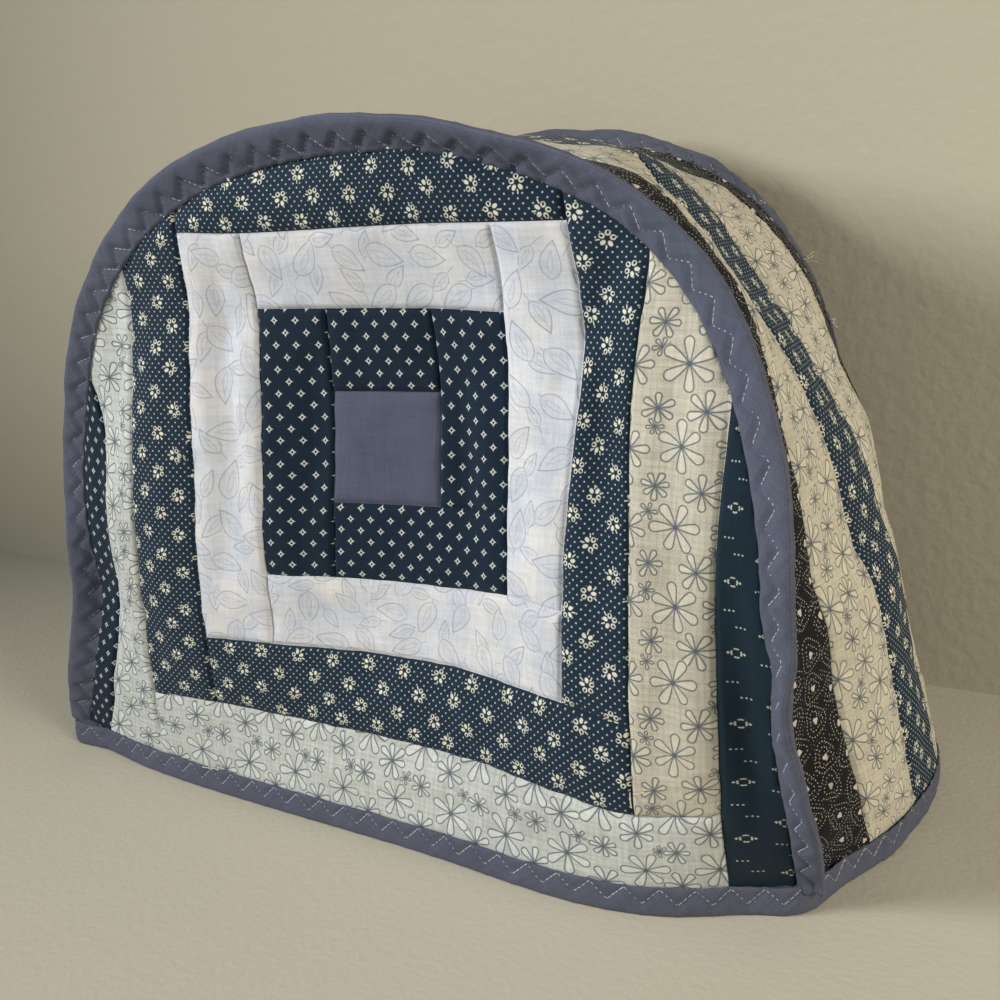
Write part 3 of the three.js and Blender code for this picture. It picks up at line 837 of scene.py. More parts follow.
def hearts(tree, u, v):
    """Near-black, with pin dots that run in rings within rings, and small pinkish hearts."""
    cell = (11.5, 10.4, 4.7)
    near_black = (0.0060, 0.0065, 0.0075)
    dot_ink = (0.56, 0.56, 0.52)
    pink = (0.60, 0.53, 0.48)
    x, y, i, j = repeat(u, v, *cell)
    dice = chance(i, j, 61)
    x, y = shaken(x, y, dice, 2.0, 2.0)
    far = away(x, y)
    turn = heading(x, y)
    dotted = u * 0.0
    for ring, dots in ((4.8, 27), (2.9, 16)):
        along = ((turn * dots).rest() - 0.5) * (FULL_TURN * ring / dots)
        drift = far - ring - 0.6 * (turn * (FULL_TURN * 3) + dice[0] * 6.3).sine()
        dotted = dotted.larger(away(along, drift).inside(0.19, 0.10))
    hearts_over = u * 0.0
    for right, up, seed in ((0.0, 0.0, 61), (5.6, 4.4, 64)):
        x, y, i, j = repeat(u + right, v + up, *cell)
        dice = chance(i, j, seed)
        x, y = shaken(x, y, dice, 2.0, 2.0)
        x, y = turned(x, y, dice[0])
        lobes = away(x.size() - 0.48, y - 0.38).inside(0.56, 0.12)
        point = (x.size() * 0.80 - (y + 0.12) * 0.60).inside(0.74, 0.12) * (y - 0.40).inside(0.0, 0.12)
        printed = (seed - 61 + dice[1] * 3).inside(2.9, 0.01)
        hearts_over = hearts_over.larger(lobes.larger(point) * printed)
    x, y, _, _ = repeat(u, v, 1.5, 1.3, 0.75)
    stray = away(x, y).inside(0.15, 0.10) * mottle(tree, u, v, 4, 9).inside(0.47, 0.04)
    dots_over = blend(tree, dotted.larger(stray) * 0.8, near_black, dot_ink)
    return blend(tree, hearts_over * 0.9, dots_over, pink)


cottons["hearts"] = cotton("heart_and_pin_dot_print", hearts)


def seam_line(face):
    """The seam line of a face, from the left hem over the top to the right hem, by share of its length."""
    x, z, side = arch(face, np.linspace(CLOTH_START, SPRING, 61)[:-1], 121)
    points = np.stack([x, face_y(face, side, z), z], -1)
    steps = np.linalg.norm(np.diff(points, axis=0), axis=1)
    shares = np.concatenate([[0], np.cumsum(steps)]) / steps.sum()
    return shares, points


SEAM = {"front": seam_line("front"), "back": seam_line("back")}


def seam_point(face, along):
    """The place at a share of the way along a seam."""
    shares, points = SEAM[face]
    return np.stack([np.interp(along, shares, points[:, k]) for k in range(3)], -1)


def unit(ways):
    """The same ways, each one millimetre long."""
    return ways / np.linalg.norm(ways, axis=-1, keepdims=True)


def seam_out(face, along):
    """Straight out of the arch at a place along a seam."""
    near = 0.012
    step = seam_point(face, np.minimum(along + near, 1)) - seam_point(face, np.maximum(along - near, 0))
    return unit(np.stack([-step[..., 2], 0 * step[..., 2], step[..., 0]], -1))


def gusset_point(along, depth, tuck):
    """The gusset's middle surface, tuck inside the seam lines."""
    front = seam_point("front", along)
    back = seam_point("back", along)
    rows = np.array([smooth(SWELL_AT, row, along).ravel() for row in SWELL])
    swell = smooth(STRIP_SEAMS, rows, depth)
    point = front + (back - front) * depth[..., None]
    out = seam_out("front", along) * (1 - depth[..., None]) + seam_out("back", along) * depth[..., None]
    out[..., 2] *= np.clip((point[..., 2] - CLOTH_START) / 60, 0, 1)
    return point + unit(out) * (swell - tuck)[..., None]


def gusset_skin(over):
    """The outer skin of the gusset: a grid along its length and over its width, and where its ends fall."""
    down = np.linspace(0, 1, 281)
    along, depth = np.meshgrid(down, over, indexing="ij")
    shape = along.shape
    edge = np.min([np.abs(depth - share) for share in STRIP_SEAMS[1:-1]], axis=0) * GUSSET_WIDTH
    ends = np.minimum(depth, 1 - depth) * GUSSET_WIDTH
    # The seams wander a little, and the cloth lies inside the seam lines, least at the back seam.
    bends = 40
    line = np.stack([along.ravel() * bends, 0 * along.ravel(), 0 * along.ravel()], -1)
    wander = 0.0045 * roll(line, 1.0, 3).reshape(shape) * np.clip(ends / 15, 0, 1)
    tuck = 1.2 - 1.1 * np.clip((depth - 0.95) / 0.05, 0, 1)
    middle = gusset_point(along, np.clip(depth + wander, 0, 1), tuck)
    normal = unit(np.cross(np.gradient(middle, axis=0), np.gradient(middle, axis=1)))
    flats = np.stack([along * GUSSET_LENGTH, depth * GUSSET_WIDTH, 0 * along], -1).reshape(-1, 3)
    relief = quilted(edge) + puckered(edge, flats * (1, 0.25, 1), 4.4, 31)
    relief = relief + waves(flats, ((1.4, 26.0, 32, 0.55), (0.55, 12.0, 33, 1), (0.34, 6.5, 34, 1)), shape)
    sunk = 0.5
    calm = np.clip(ends / 5, 0, 1) * above_hem(middle[..., 2])
    outer = middle + normal * (CLOTH_THICK / 2 + (relief - sunk) * calm)[..., None]
    foot = outer[[0, -1]].copy()
    foot[..., 2] = HEM_DEPTH
    reach = 2.9
    places = np.concatenate([[-reach], down * GUSSET_LENGTH, [GUSSET_LENGTH + reach]])
    return np.concatenate([foot[:1], outer, foot[1:]]) + (*MIDDLE, 0), places


def build_gusset():
    """The five strips of the gusset, each with its own print."""
    over = cuts([GUSSET_WIDTH * share for share in STRIP_SEAMS]) / GUSSET_WIDTH
    points, places = gusset_skin(over)
    cols = len(over)
    corners = []
    uvs = []
    kinds = []
    fabrics = sorted(set(STRIP_PRINTS))
    starts = np.random.default_rng(23).uniform(0, 300, (5, 2))
    for i in range(len(places) - 1):
        for j in range(cols - 1):
            strip = min(int((over[j] + over[j + 1]) / 2 * 5), 4)
            quad = ((i, j), (i + 1, j), (i + 1, j + 1), (i, j + 1))
            corners.append([a * cols + b for a, b in quad])
            for a, b in quad:
                spot = (places[a] + starts[strip, 0], over[b] * GUSSET_WIDTH + starts[strip, 1])
                uvs.append((spot[1], -spot[0]) if STRIP_PRINTS[strip] == "calico" else spot)
            kinds.append(fabrics.index(STRIP_PRINTS[strip]))
    materials = [cottons[fabric] for fabric in fabrics] + [cottons["backing"]]
    piece = build_mesh("striped_gusset", points.reshape(-1, 3), corners, uvs, kinds, materials)
    give_thickness(piece, len(fabrics))
    return piece


gusset = build_gusset()
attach(gusset, "root")
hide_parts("gusset")

# ---------- Seam bindings ----------
# Slate bias tape, folded lengthwise over the raw edges of both seams, and sewn through with a zigzag in
# pale thread. It stands out from the seam as a soft flange that rolls to and fro. FLANGE tells for places
# along the seam where it starts, how wide it stands and how many degrees it leans off the face.
FLANGE = {
    "front": {
        "at": (0, 0.06, 0.09, 0.12, 0.16, 0.21, 0.3, 0.35, 0.42, 0.5,
               0.54, 0.58, 0.62, 0.66, 0.75, 0.84, 0.88, 0.92, 0.96, 1.0),
        "start": (-0.4, -2, -2.4, -1) + (-0.7,) * 7 + (-1, -0.8) + (0.2,) * 7,
        "wide": (10.5, 11.5, 11.5, 11, 10.5, 10.5, 10.5, 11, 11.5, 11) + (10.5,) * 5 + (10, 9, 9, 9, 8),
        "lean": (10, 32, 36, 22, 6, 15, 9, 16, 24, 38, 42, 52, 44, 20, 16, 30, 54, 42, 14, -10),
    },
    "back": {
        "at": (0, 0.25, 0.45, 0.5, 0.56, 0.62, 0.68, 0.72, 0.8, 0.9, 1.0),
        "start": (-0.5, -0.5, -1, -1.9, -1.9, -1.9, -1.6, -1.3, -1, -0.5, -0.5),
        "wide": (10.5,) * 11,
        "lean": (0, 30, 20, 36, 64, 82, 100, 112, 110, 60, 10),
    },
}
FLANGE_THICK = 3.4
# The tape is round over the last part of its width, FOLD, and thinner over the first, ROOT.
FOLD = 0.20
ROOT = 0.35
# The band of the tape's width that the stitches cross, at places along the seam.
ZIGZAG_AT = (0, 0.15, 0.4, 0.6, 0.7, 0.8, 1.0)
ZIGZAG_LOW = (0.12, 0.10, 0.08, 0.10, 0.20, 0.24, 0.16)
ZIGZAG_HIGH = (0.58, 0.56, 0.54, 0.56, 0.62, 0.64, 0.60)
ZIGZAG_PERIOD = 10.3
STITCHES_A_LEG = 4
THREAD_THICK = 0.17
THREAD_COLOUR = (0.42, 0.47, 0.56)
TAPE = cotton("slate_bias_tape", plain((0.080, 0.090, 0.133)), bias=True)


def zigzag(miles):
    """A to-and-fro line, 0 to 1, with one turn and back in each period."""
    phase = miles / ZIGZAG_PERIOD % 1.0
    return 1 - np.abs(2 * phase - 1)


def stitch_line(miles, low, high):
    """The share of the tape's width at which the zigzag runs, within its band."""
    return low + (high - low) * zigzag(miles)


def pulled_in(off, deep, narrow, swell, beside, wide):
    """How far a stitch line pulls the tape in, and swells it beside the line, at a distance off it."""
    return deep * np.exp(-((off / narrow) ** 2)) - swell * np.exp(-(((np.abs(off) - beside) / wide) ** 2))


def flange_ways(face, along, lean):
    """Which way the tape stands out from the seam, and which way is through it, where it leans."""
    facing = -1 if face == "front" else 1
    out = seam_out(face, along)
    across = out * np.cos(lean)[..., None]
    across[..., 1] = facing * np.sin(lean)
    thickwise = out * np.sin(lean)[..., None]
    thickwise[..., 1] = -facing * np.cos(lean)
    return out, across, thickwise


def flange_surface(face, along, share, side, length):
    """The skin of a seam binding at a share of its width, on its front (1) or its back (-1)."""
    at = FLANGE[face]["at"]
    start, wide, lean = [smooth(at, FLANGE[face][row], along) for row in ("start", "wide", "lean")]
    seed = 51 if face == "front" else 57
    miles = along * length
    strolls = np.stack([miles.ravel(), 0 * miles.ravel(), 0 * miles.ravel() + 7], -1)
    wide = wide + 0.3 * roll(strolls, 14.0, seed).reshape(along.shape)
    lean = np.radians(lean) + 0.13 * roll(strolls, 19.0, seed + 1).reshape(along.shape) * share
    out, across, thickwise = flange_ways(face, along, lean)
    low = smooth(ZIGZAG_AT, ZIGZAG_LOW, along)
    high = smooth(ZIGZAG_AT, ZIGZAG_HIGH, along)
    off = (share - stitch_line(miles, low, high)) * wide * 0.75
    body = 0.55 + 0.45 * np.clip(share / ROOT, 0, 1) ** 0.7
    fold = np.sqrt(np.clip(1 - (np.clip(share - (1 - FOLD), 0, 1) / FOLD) ** 2, 0, 1))
    flats = np.stack([miles, share * wide, 3.0 * side + 0 * miles], -1).reshape(-1, 3)
    soft = 0.35 * roll(flats, 6.0, seed + 2).reshape(along.shape) * fold
    thick = (FLANGE_THICK / 2 * body + soft - pulled_in(off, 0.95, 0.85, 0.30, 2.4, 1.3)) * fold
    sway = 0.7 * roll(flats * (1, 1, 0), 16.0, seed + 3).reshape(along.shape) * share
    scallop = 0.15 * (zigzag(miles) - 0.5) * np.clip((share - 0.7) / 0.3, 0, 1)
    reach = start + share * (wide - start) + scallop
    # Below the seam line the tape lies on the panel, just clear of it.
    clear = 0.3
    root = np.where(lean[..., None] > 1, across, out)
    lying = root - thickwise * clear / np.minimum(reach, -clear)[..., None]
    across = np.where(reach[..., None] < 0, lying, across)
    spot = seam_point(face, along) + across * reach[..., None]
    return spot + thickwise * (side * thick + sway)[..., None]


def sweep(name, rings, closed, down, around):
    """Tape round rings of points, its ends shut when it is open; down and around are its cloth places."""
    steps, count = rings.shape[:2]
    corners = []
    places = []
    for i in range(steps if closed else steps - 1):
        n = (i + 1) % steps
        for k in range(count):
            m = (k + 1) % count
            corners.append((i * count + k, n * count + k, n * count + m, i * count + m))
            places += [(down[a], around[b]) for a, b in ((i, k), (i + 1, k), (i + 1, k + 1), (i, k + 1))]
    if not closed:
        for base, order in ((0, 1), ((steps - 1) * count, -1)):
            for k in range(count // 2 - 1):
                quad = [base + k, base + k + 1, base + count - 2 - k, base + count - 1 - k]
                corners.append(quad[::order])
                places += [(0, 0), (1, 0), (1, 1), (0, 1)]
    points = rings.reshape(-1, 3) + (*MIDDLE, 0)
    return build_mesh(name, points, corners, places, [0] * len(corners), [TAPE])


# A stitch from hole to hole: share of its length, share of its thickness, and how far it stands up.
STITCH = ((0.0, 0.7, -0.35), (0.12, 1.0, 0.02), (0.5, 1.0, 0.10), (0.88, 1.0, 0.02), (1.0, 0.7, -0.35))


def sew(name, starts, ends, outs, thick, thread):
    """A row of stitches: each a short rounded length of thread, lying between two needle holes."""
    sides = 6
    run = unit(ends - starts)
    up = unit(outs - run * np.sum(outs * run, -1, keepdims=True))
    wide = np.cross(run, up)
    points = []
    for share, size, rise in STITCH:
        middle = starts + (ends - starts) * share + up * rise
        for k in range(sides):
            turn = FULL_TURN * k / sides
            points.append(middle + (wide * math.cos(turn) + up * math.sin(turn)) * thick * size)
    points = np.stack(points, 1)
    per = len(STITCH) * sides
    quads = []
    for r in range(len(STITCH) - 1):
        for k in range(sides):
            m = (k + 1) % sides
            quads.append((r * sides + k, r * sides + m, (r + 1) * sides + m, (r + 1) * sides + k))
    for base, order in ((0, -1), (per - sides, 1)):
        quads.append((base, base + 1, base + 2, base + 3)[::order])
        quads.append((base, base + 3, base + 4, base + 5)[::order])
    quads = np.array(quads)
    corners = (quads[None] + per * np.arange(len(starts))[:, None, None]).reshape(-1, 4)
    uvs = np.tile([(0, 0), (1, 0), (1, 1), (0, 1)], (len(corners), 1))
    points = points.reshape(-1, 3) + (*MIDDLE, 0)
    return build_mesh(name, points, corners, uvs, [0] * len(corners), [thread])


def sewing_thread():
    """A smooth pale cotton thread."""
    material = bpy.data.materials.new("sewing_thread")
    material.use_nodes = True
    shader = material.node_tree.nodes["Principled BSDF"]
    shader.inputs["Base Color"].default_value = (*THREAD_COLOUR, 1)
    shader.inputs["Roughness"].default_value = 0.6
    shader.inputs["Sheen Weight"].default_value = 0.2
    return material


THREAD = sewing_thread()


def needle_holes(length, seed):
    """Where the needle went in along a zigzag: millimetres along it and the share of its band."""
    rng = np.random.default_rng(seed)
    legs = int(length / (ZIGZAG_PERIOD / 2)) - 1
    places = np.arange(1, legs * STITCHES_A_LEG + 1) / STITCHES_A_LEG * (ZIGZAG_PERIOD / 2)
    return places + rng.normal(0, 0.12, len(places))


def build_seam_binding(name, face):
    """The tape along one seam, a little longer than the seam at both ends, with its zigzags."""
    _, points = SEAM[face]
    length = float(np.linalg.norm(np.diff(points, axis=0), axis=1).sum())
    down = np.linspace(-0.006, 1.006, int(length / 1.1))
    across = np.concatenate([np.linspace(0, 1 - FOLD, 8), (0.87, 0.93, 0.975, 1.0)])
    along, share = np.meshgrid(np.clip(down, 0, 1), across, indexing="ij")
    front = flange_surface(face, along, share, 1, length)
    rear = flange_surface(face, along, share, -1, length)[:, ::-1]
    rings = np.concatenate([front, rear[:, 1:]], 1)
    rings[..., 2] -= np.maximum(-down, 0)[:, None] * length + np.maximum(down - 1, 0)[:, None] * length
    if face == "back":
        rings = rings[::-1]
    around = np.concatenate([across, 2 - across[::-1][1:], [2.0]]) * 10.5
    piece = sweep(name, rings, False, down * length, around)
    stitches = []
    for side, end, seed in ((1, "front", 5), (-1, "rear", 6)):
        holes = needle_holes(length, seed) / length
        low = smooth(ZIGZAG_AT, ZIGZAG_LOW, holes)
        high = smooth(ZIGZAG_AT, ZIGZAG_HIGH, holes)
        line = stitch_line(holes * length, low, high)
        spots = flange_surface(face, holes, line, side, length)
        outs = unit(spots - flange_surface(face, holes, line, -side, length))
        outs = (outs[:-1] + outs[1:]) / 2
        stitches.append(sew(f"{name}_zigzag_{end}", spots[:-1], spots[1:], outs, THREAD_THICK, THREAD))
    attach(piece, "root")
    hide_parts(f"{face}_seam_binding")
    for stitch in stitches:
        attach(stitch, "root")
        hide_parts(f"{face}_seam_binding")


build_seam_binding("front_tape", "front")
build_seam_binding("back_tape", "back")

# ---------- Hem binding ----------
# The same slate tape, folded over the raw lower edges all the way round and zigzagged on. It takes in the
# lower ends of the flanges at the four corners, and laps over its own start low on the right side. Its
# folded underside is flat where the cover stands on it.

# How far past each corner the tape runs out, and where its ends meet.
HEM_CORNER = {"front right": 1, "back right": 6, "back left": 8, "front left": 6.5}
HEM_LAP = (156.0, -33.0)
HEM_HIGH = 9.5
CLOTH_INSET = 1.5
# Half of its cross-section: distance from the middle line and height, from the table up and over.
HEM_PROFILE = (
    (0.0, 0.0), (1.3, 0.0), (1.85, 0.25), (2.1, 1.0), (2.25, 2.4), (2.2, 4.0), (2.15, 5.6), (2.15, 7.0),
    (2.1, 8.2), (2.0, 9.0), (1.75, 9.5), (1.45, 9.55), (1.2, 9.1), (1.05, 8.2), (0.9, 7.5),
)


def panel_foot(face, share):
    """The lower edge of a panel, at a share of its half width."""
    share = np.asarray(share, float)
    z = np.full(share.shape, CLOTH_START)
    x = share * (leg_half(face, share, z) - 1.2)
    return np.stack([x, face_y(face, np.clip(x / outline_half(face, x, z), -1, 1), z), 0 * z], -1)


def hem_line():
    """The middle line of the hem binding, round the lower edges of the cloth and the four corners."""
    wide = 0.045 + 0.91 * np.linspace(0, 1, 12)
    deep = 0.12 + 0.76 * np.linspace(0, 1, 7)

    def corner(face, side, along):
        lean = np.radians(smooth(FLANGE[face]["at"], FLANGE[face]["lean"], along))
        _, across, _ = flange_ways(face, np.array(along), lean)
        return [seam_point(face, along) + across * HEM_CORNER[f"{face} {side}"]]

    guides = np.concatenate([
        panel_foot("front", 2 * wide - 1),
        corner("front", "right", 1.0),
        gusset_point(0 * deep + 1, deep, CLOTH_INSET),
        corner("back", "right", 1.0),
        panel_foot("back", 1 - 2 * wide),
        corner("back", "left", 0.0),
        gusset_point(0 * deep, 1 - deep, CLOTH_INSET),
        corner("front", "left", 0.0),
    ])
    guides[:, 2] = 0
    count = len(guides)
    knots = np.sqrt(np.linalg.norm(np.roll(guides, -1, 0) - guides, axis=1))
    line = []
    for i in range(count):
        p = [guides[(i + k) % count] for k in (-1, 0, 1, 2)]
        t0 = knots[i - 1]
        t1 = knots[i]
        t2 = knots[(i + 1) % count]
        m1 = (p[2] - p[1]) + t1 * ((p[1] - p[0]) / t0 - (p[2] - p[0]) / (t0 + t1))
        m2 = (p[2] - p[1]) + t1 * ((p[3] - p[2]) / t2 - (p[3] - p[1]) / (t1 + t2))
        for t in np.linspace(0, 1, 40)[:-1]:
            line.append((2 * t**3 - 3 * t**2 + 1) * p[1] + (t**3 - 2 * t**2 + t) * m1
                        + (3 * t**2 - 2 * t**3) * p[2] + (t**3 - t**2) * m2)
    line = np.array(line + [line[0]])
    steps = np.linalg.norm(np.diff(line, axis=0), axis=1)
    miles = np.concatenate([[0], np.cumsum(steps)])
    return miles, line


HEM_MILES, HEM_RUN = hem_line()


def hem_frame(miles):
    """The middle line and the way straight out of it, at each distance round the hem."""
    whole = HEM_MILES[-1]

    def at(place):
        return np.stack([np.interp(place % whole, HEM_MILES, HEM_RUN[:, k]) for k in range(3)], -1)

    run = unit(at(miles + 1.5) - at(miles - 1.5))
    return at(miles), np.stack([run[..., 1], -run[..., 0], 0 * run[..., 0]], -1)


def hem_stitches_at(miles):
    """The share of the tape's height at which the zigzag runs."""
    return 1 - 0.06 - 0.54 * zigzag(miles)


def lap_step(miles):
    """1 on the lapped end of the hem tape, which lies over its start for about half an inch."""
    spots, _ = hem_frame(HEM_MILES)
    start = HEM_MILES[np.argmin(np.hypot(spots[:, 0] - HEM_LAP[0], spots[:, 1] - HEM_LAP[1]))]
    past = miles - start
    return np.clip(past / 0.7, 0, 1) * (1 - np.clip((past - 12) / 6, 0, 1))


def hem_surface(miles, out, up, side):
    """The skin of the hem binding, from its profile, on its outer (1) or inner (-1) side."""
    middle, outward = hem_frame(miles)
    flats = np.stack([miles, up * 1.0, 5.0 * side + 0 * miles], -1).reshape(-1, 3)
    rise = np.clip(up / HEM_HIGH, 0, 1)
    off = (rise - hem_stitches_at(miles)) * HEM_HIGH * 0.75
    soft = 0.30 * roll(flats, 7.0, 71).reshape(miles.shape) * np.sin(np.pi * np.clip(rise, 0.02, 1))
    strolls = np.stack([miles.ravel(), 9 * side + 0 * miles.ravel(), 0 * miles.ravel()], -1)
    top = 0.45 * roll(strolls, 15.0, 73)
    outside = np.clip(out / 1.8, 0, 1)
    lap = 0.55 * lap_step(miles) * outside if side > 0 else 0
    reach = out + (soft - pulled_in(off, 0.6, 0.9, 0.25, 2.2, 1.2)) * outside + lap
    spot = middle + outward * (reach * side)[..., None]
    spot[..., 2] = up + top.reshape(miles.shape) * rise**2
    return spot


def cloth_feet():
    """Close points along the lower edges of all the cloth that the hem takes in."""
    wide = np.linspace(-1, 1, 200)
    deep = np.linspace(0, 1, 80)
    sides = [gusset_point(along, deep, CLOTH_INSET) for along in (np.ones(80), np.zeros(80))]
    feet = np.concatenate([panel_foot("front", wide), panel_foot("back", wide), *sides])
    feet[:, 2] = 0
    return feet


def gap_to(feet, spots):
    """How far each spot is from the nearest cloth, seen from above."""
    return np.linalg.norm(spots[:, None, :2] - feet[None, :, :2], axis=2).min(1)


def build_hem():
    """The hem tape all round, filled out where it runs past the cloth, with a zigzag on each side."""
    whole = HEM_MILES[-1]
    places = np.linspace(0, whole, int(whole / 1.2), endpoint=False)
    profile = np.array(HEM_PROFILE)
    miles, k = np.meshgrid(places, np.arange(len(profile)), indexing="ij")
    outer = hem_surface(miles, profile[k, 0], profile[k, 1], 1)
    inner = hem_surface(miles, profile[k, 0], profile[k, 1], -1)
    middle, outward = hem_frame(places)
    feet = cloth_feet()
    gaps = gap_to(feet, middle)
    inner -= outward[:, None] * (gaps[:, None] * np.clip(profile[:, 0] / 1.0, 0, 1)[None])[..., None]
    fill = np.clip(gaps / 2.0, 0, 1)[:, None]
    shut = profile[:, 1].copy()
    shut[-3:] = 9.3
    for ring in (outer, inner):
        ring[..., 2] += fill * (shut - profile[:, 1])[None]
    rings = np.concatenate([outer, inner[:, ::-1][:, :-1]], 1)
    span = np.concatenate([[0], np.cumsum(np.linalg.norm(np.diff(profile, axis=0), axis=1))])
    around = np.concatenate([span, 2 * span[-1] + 1.8 - span[::-1]])
    piece = sweep("hem_tape", rings, True, np.append(places, whole), around)
    stitches = []
    periods = round(whole / ZIGZAG_PERIOD)
    holes = needle_holes(periods * ZIGZAG_PERIOD, 8) * whole / (periods * ZIGZAG_PERIOD)
    up = HEM_HIGH * hem_stitches_at(holes)
    out = np.interp(up, profile[1:11, 1], profile[1:11, 0])
    _, outs = hem_frame((holes[:-1] + holes[1:]) / 2)
    for side, end in ((1, "outer"), (-1, "inner")):
        spots = hem_surface(holes, out, up, side)
        if side < 0:
            spots -= hem_frame(holes)[1] * np.clip(gap_to(feet, spots) - 2.2, 0, 99)[:, None]
        stitches.append(sew(f"hem_zigzag_{end}", spots[:-1], spots[1:], outs * side, THREAD_THICK, THREAD))
    return piece, stitches


hem, hem_stitches = build_hem()
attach(hem, "root")
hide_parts("hem_binding")
for stitch in hem_stitches:
    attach(stitch, "root")
    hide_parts("hem_binding")

# ---------- Loose threads ----------
# Short ends of pale cotton that fray out of the cut edges and were never snipped: along the back edge of
# the gusset, on the hem at the front, and at seams of the patchwork.

# Each tuft: its cloth, its place (along and across the gusset, or share of the front's half width and
# height), how many strands it has, and how long they are.
TUFTS = (
    ("gusset", 0.700, 0.965, 4, 4.5),
    ("gusset", 0.742, 0.985, 3, 3.5),
    ("gusset", 0.655, 0.970, 2, 2.5),
    ("front", -0.47, 9.5, 3, 6.0),
    ("front", 0.70, 41.0, 2, 4.5),
    ("front", -0.52, 128.0, 2, 3.0),
    ("front", 0.71, 178.0, 2, 3.0),
    ("front", -0.30, 76.0, 1, 3.5),
)
STRAND_BENDS = 5
STRAND_THICK = 0.19
FRAYED = cotton("frayed_thread", plain((0.74, 0.71, 0.62)))


def loose_threads():
    """All the strands: each starts in its tuft and curls as it goes."""
    rng = np.random.default_rng(83)
    starts = []
    ends = []
    outs = []
    for where, a, b, strands, long in TUFTS:
        if where == "gusset":
            spot = gusset_point(np.array(a), np.array(b), -1.4)
            out = seam_out("back", np.array(a))
        else:
            spot = np.array([a * leg_half("front", a, min(b, SPRING)), face_y("front", a, b) - 2.0, b])
            out = np.array([0.0, -1.0, 0.0])
        for _ in range(strands):
            place = spot + rng.normal(0, 0.5, 3)
            way = unit(out * 0.5 + rng.normal(0, 0.7, 3))
            bend = rng.normal(0, 0.22, 3)
            for _ in range(STRAND_BENDS):
                step = place + way * long / STRAND_BENDS
                starts.append(place)
                ends.append(step)
                outs.append(out)
                place = step
                way = unit(way + bend)
    starts, ends, outs = np.array(starts), np.array(ends), np.array(outs)
    return sew("loose_threads", starts, ends, outs, STRAND_THICK, FRAYED)


loose = loose_threads()
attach(loose, "root")
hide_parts("front_panel", "gusset")

# ---------- The table and the wall ----------
# A plain pale table top, and the plain plastered wall that stands close behind the cover. Both are for the
# picture only. Each is one painted face, which lets the view through when it is seen from behind.
TABLE_PAINT = (0.52, 0.50, 0.42)
WALL_PAINT = (0.45, 0.43, 0.345)
TABLE_CORNERS = [(-2, -2, 0), (2, -2, 0), (2, 2, 0), (-2, 2, 0)]
WALL_CORNERS = [(-2, 0.005, -0.01), (2, 0.209, -0.01), (2, 0.209, 2), (-2, 0.005, 2)]


def painted_face(name, colour, grain, corners):
    """One flat painted face, with the uneven skin a roller leaves, in lumps about grain across."""
    mesh = bpy.data.meshes.new(name)
    mesh.from_pydata(corners, [], [(0, 1, 2, 3)])
    piece = bpy.data.objects.new(name, mesh)
    bpy.context.scene.collection.objects.link(piece)
    material = bpy.data.materials.new(name)
    material.use_nodes = True
    tree = material.node_tree
    shader = tree.nodes["Principled BSDF"]
    shader.inputs["Base Color"].default_value = (*colour, 1)
    shader.inputs["Roughness"].default_value = 0.85
    shader.inputs["Specular IOR Level"].default_value = 0.2
    place = tree.nodes.new("ShaderNodeTexCoord")
    pits = tree.nodes.new("ShaderNodeTexNoise")
    pits.inputs["Scale"].default_value = 1 / (grain * MM)
    pits.inputs["Detail"].default_value = 3
    tree.links.new(place.outputs["Object"], pits.inputs["Vector"])
    skin = tree.nodes.new("ShaderNodeBump")
    skin.inputs["Strength"].default_value = 0.35
    skin.inputs["Distance"].default_value = 0.25 * grain * MM
    tree.links.new(pits.outputs[0], skin.inputs["Height"])
    tree.links.new(skin.outputs[0], shader.inputs["Normal"])
    face = tree.nodes.new("ShaderNodeNewGeometry")
    clear = tree.nodes.new("ShaderNodeBsdfTransparent")
    one_sided = tree.nodes.new("ShaderNodeMixShader")
    tree.links.new(face.outputs["Backfacing"], one_sided.inputs[0])
    tree.links.new(shader.outputs[0], one_sided.inputs[1])
    tree.links.new(clear.outputs[0], one_sided.inputs[2])
    tree.links.new(one_sided.outputs[0], tree.nodes["Material Output"].inputs["Surface"])
    mesh.materials.append(material)
    return piece


table_top = painted_face("pale_table", TABLE_PAINT, 2.4, TABLE_CORNERS)
back_wall = painted_face("plain_plaster", WALL_PAINT, 5.0, WALL_CORNERS)

# ---------- Light and camera ----------
# A broad soft window to the front left, a weaker warm one from the right, and low light all round. The
# camera stands to the right of the cover, a little above it, and looks down at it. Places are in metres.
WINDOW_SPREAD = 64
ROOM_COLOUR = (0.87, 0.93, 1.0, 1)
ROOM_LIGHT = 0.22


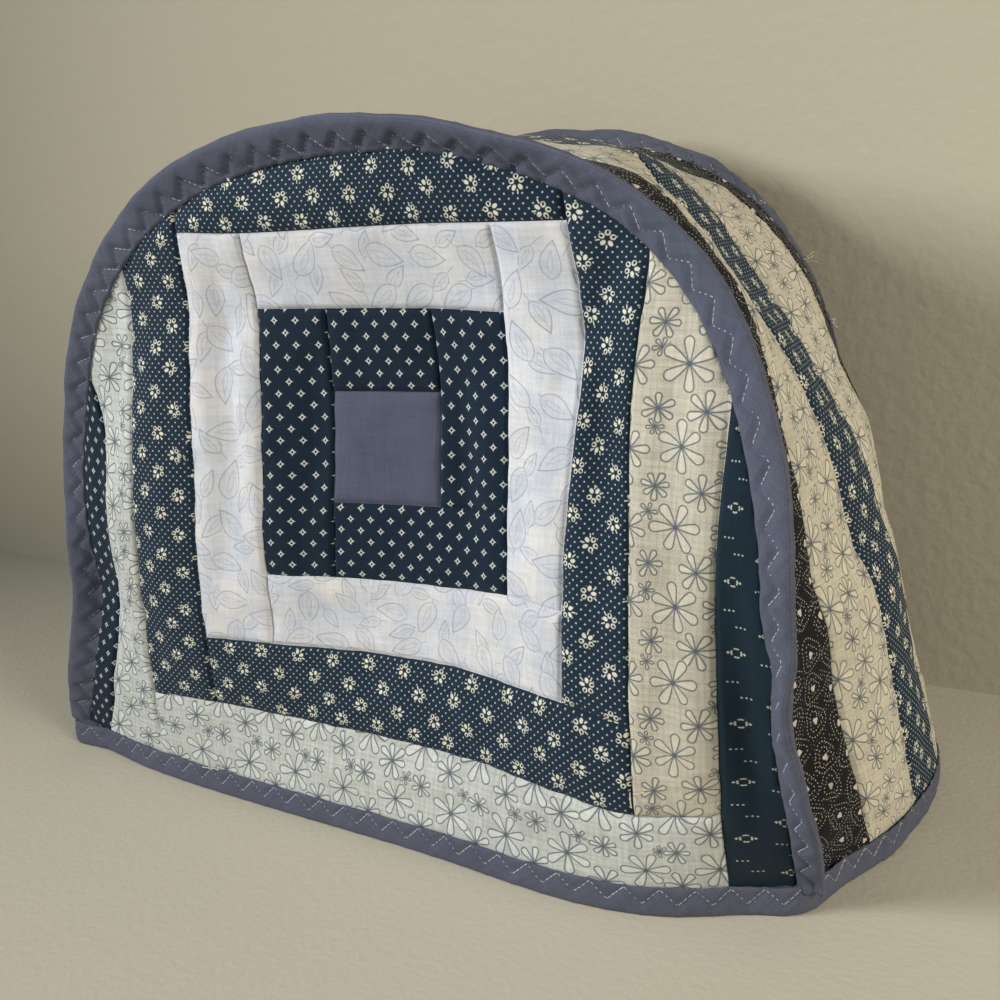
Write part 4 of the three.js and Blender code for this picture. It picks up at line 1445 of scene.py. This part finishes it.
def window(name, watts, wide, place, aim, colour):
    """A square soft light at place that shines towards aim."""
    lamp = bpy.data.lights.new(name, "AREA")
    lamp.energy = watts
    lamp.size = wide
    lamp.spread = math.radians(WINDOW_SPREAD)
    lamp.color = colour
    light = bpy.data.objects.new(name, lamp)
    light.location = place
    light.rotation_euler = (Vector(aim) - Vector(place)).to_track_quat("-Z", "Y").to_euler()
    bpy.context.scene.collection.objects.link(light)


window("left_window", 3.6, 0.5, (-0.95, -0.95, 0.62), (0.45, 0.0, 0.20), (1.0, 0.975, 0.925))
window("right_window", 2.25, 0.7, (1.25, -0.35, 0.6), (0.05, 0, 0.1), (1.0, 0.88, 0.70))
world = bpy.data.worlds.new("room_light")
world.use_nodes = True
world.node_tree.nodes["Background"].inputs["Color"].default_value = ROOM_COLOUR
world.node_tree.nodes["Background"].inputs["Strength"].default_value = ROOM_LIGHT
bpy.context.scene.world = world

# The camera's turn to the left, its look down and its roll are in radians.
CAMERA_PLACE = (0.19236, -0.33255, 0.1925)
CAMERA_TURN = 0.51522
CAMERA_DOWN = 0.24260
CAMERA_ROLL = 0.035954
CAMERA_LENS = 36
level_run = math.cos(CAMERA_DOWN)
ahead = Vector((-math.sin(CAMERA_TURN) * level_run, math.cos(CAMERA_TURN) * level_run,
                -math.sin(CAMERA_DOWN)))
level = Vector((math.cos(CAMERA_TURN), math.sin(CAMERA_TURN), 0))
below = ahead.cross(level)
right = level * math.cos(CAMERA_ROLL) + below * math.sin(CAMERA_ROLL)
down = below * math.cos(CAMERA_ROLL) - level * math.sin(CAMERA_ROLL)
camera = bpy.data.objects.new("camera", bpy.data.cameras.new("camera"))
camera.data.lens = CAMERA_LENS
camera.data.sensor_width = 36
camera.data.clip_start = 0.01
facing = Matrix((right, -down, -ahead)).transposed().to_4x4()
camera.matrix_world = Matrix.Translation(CAMERA_PLACE) @ facing
bpy.context.scene.collection.objects.link(camera)
bpy.context.scene.camera = camera
bpy.context.scene.view_settings.view_transform = "Standard"
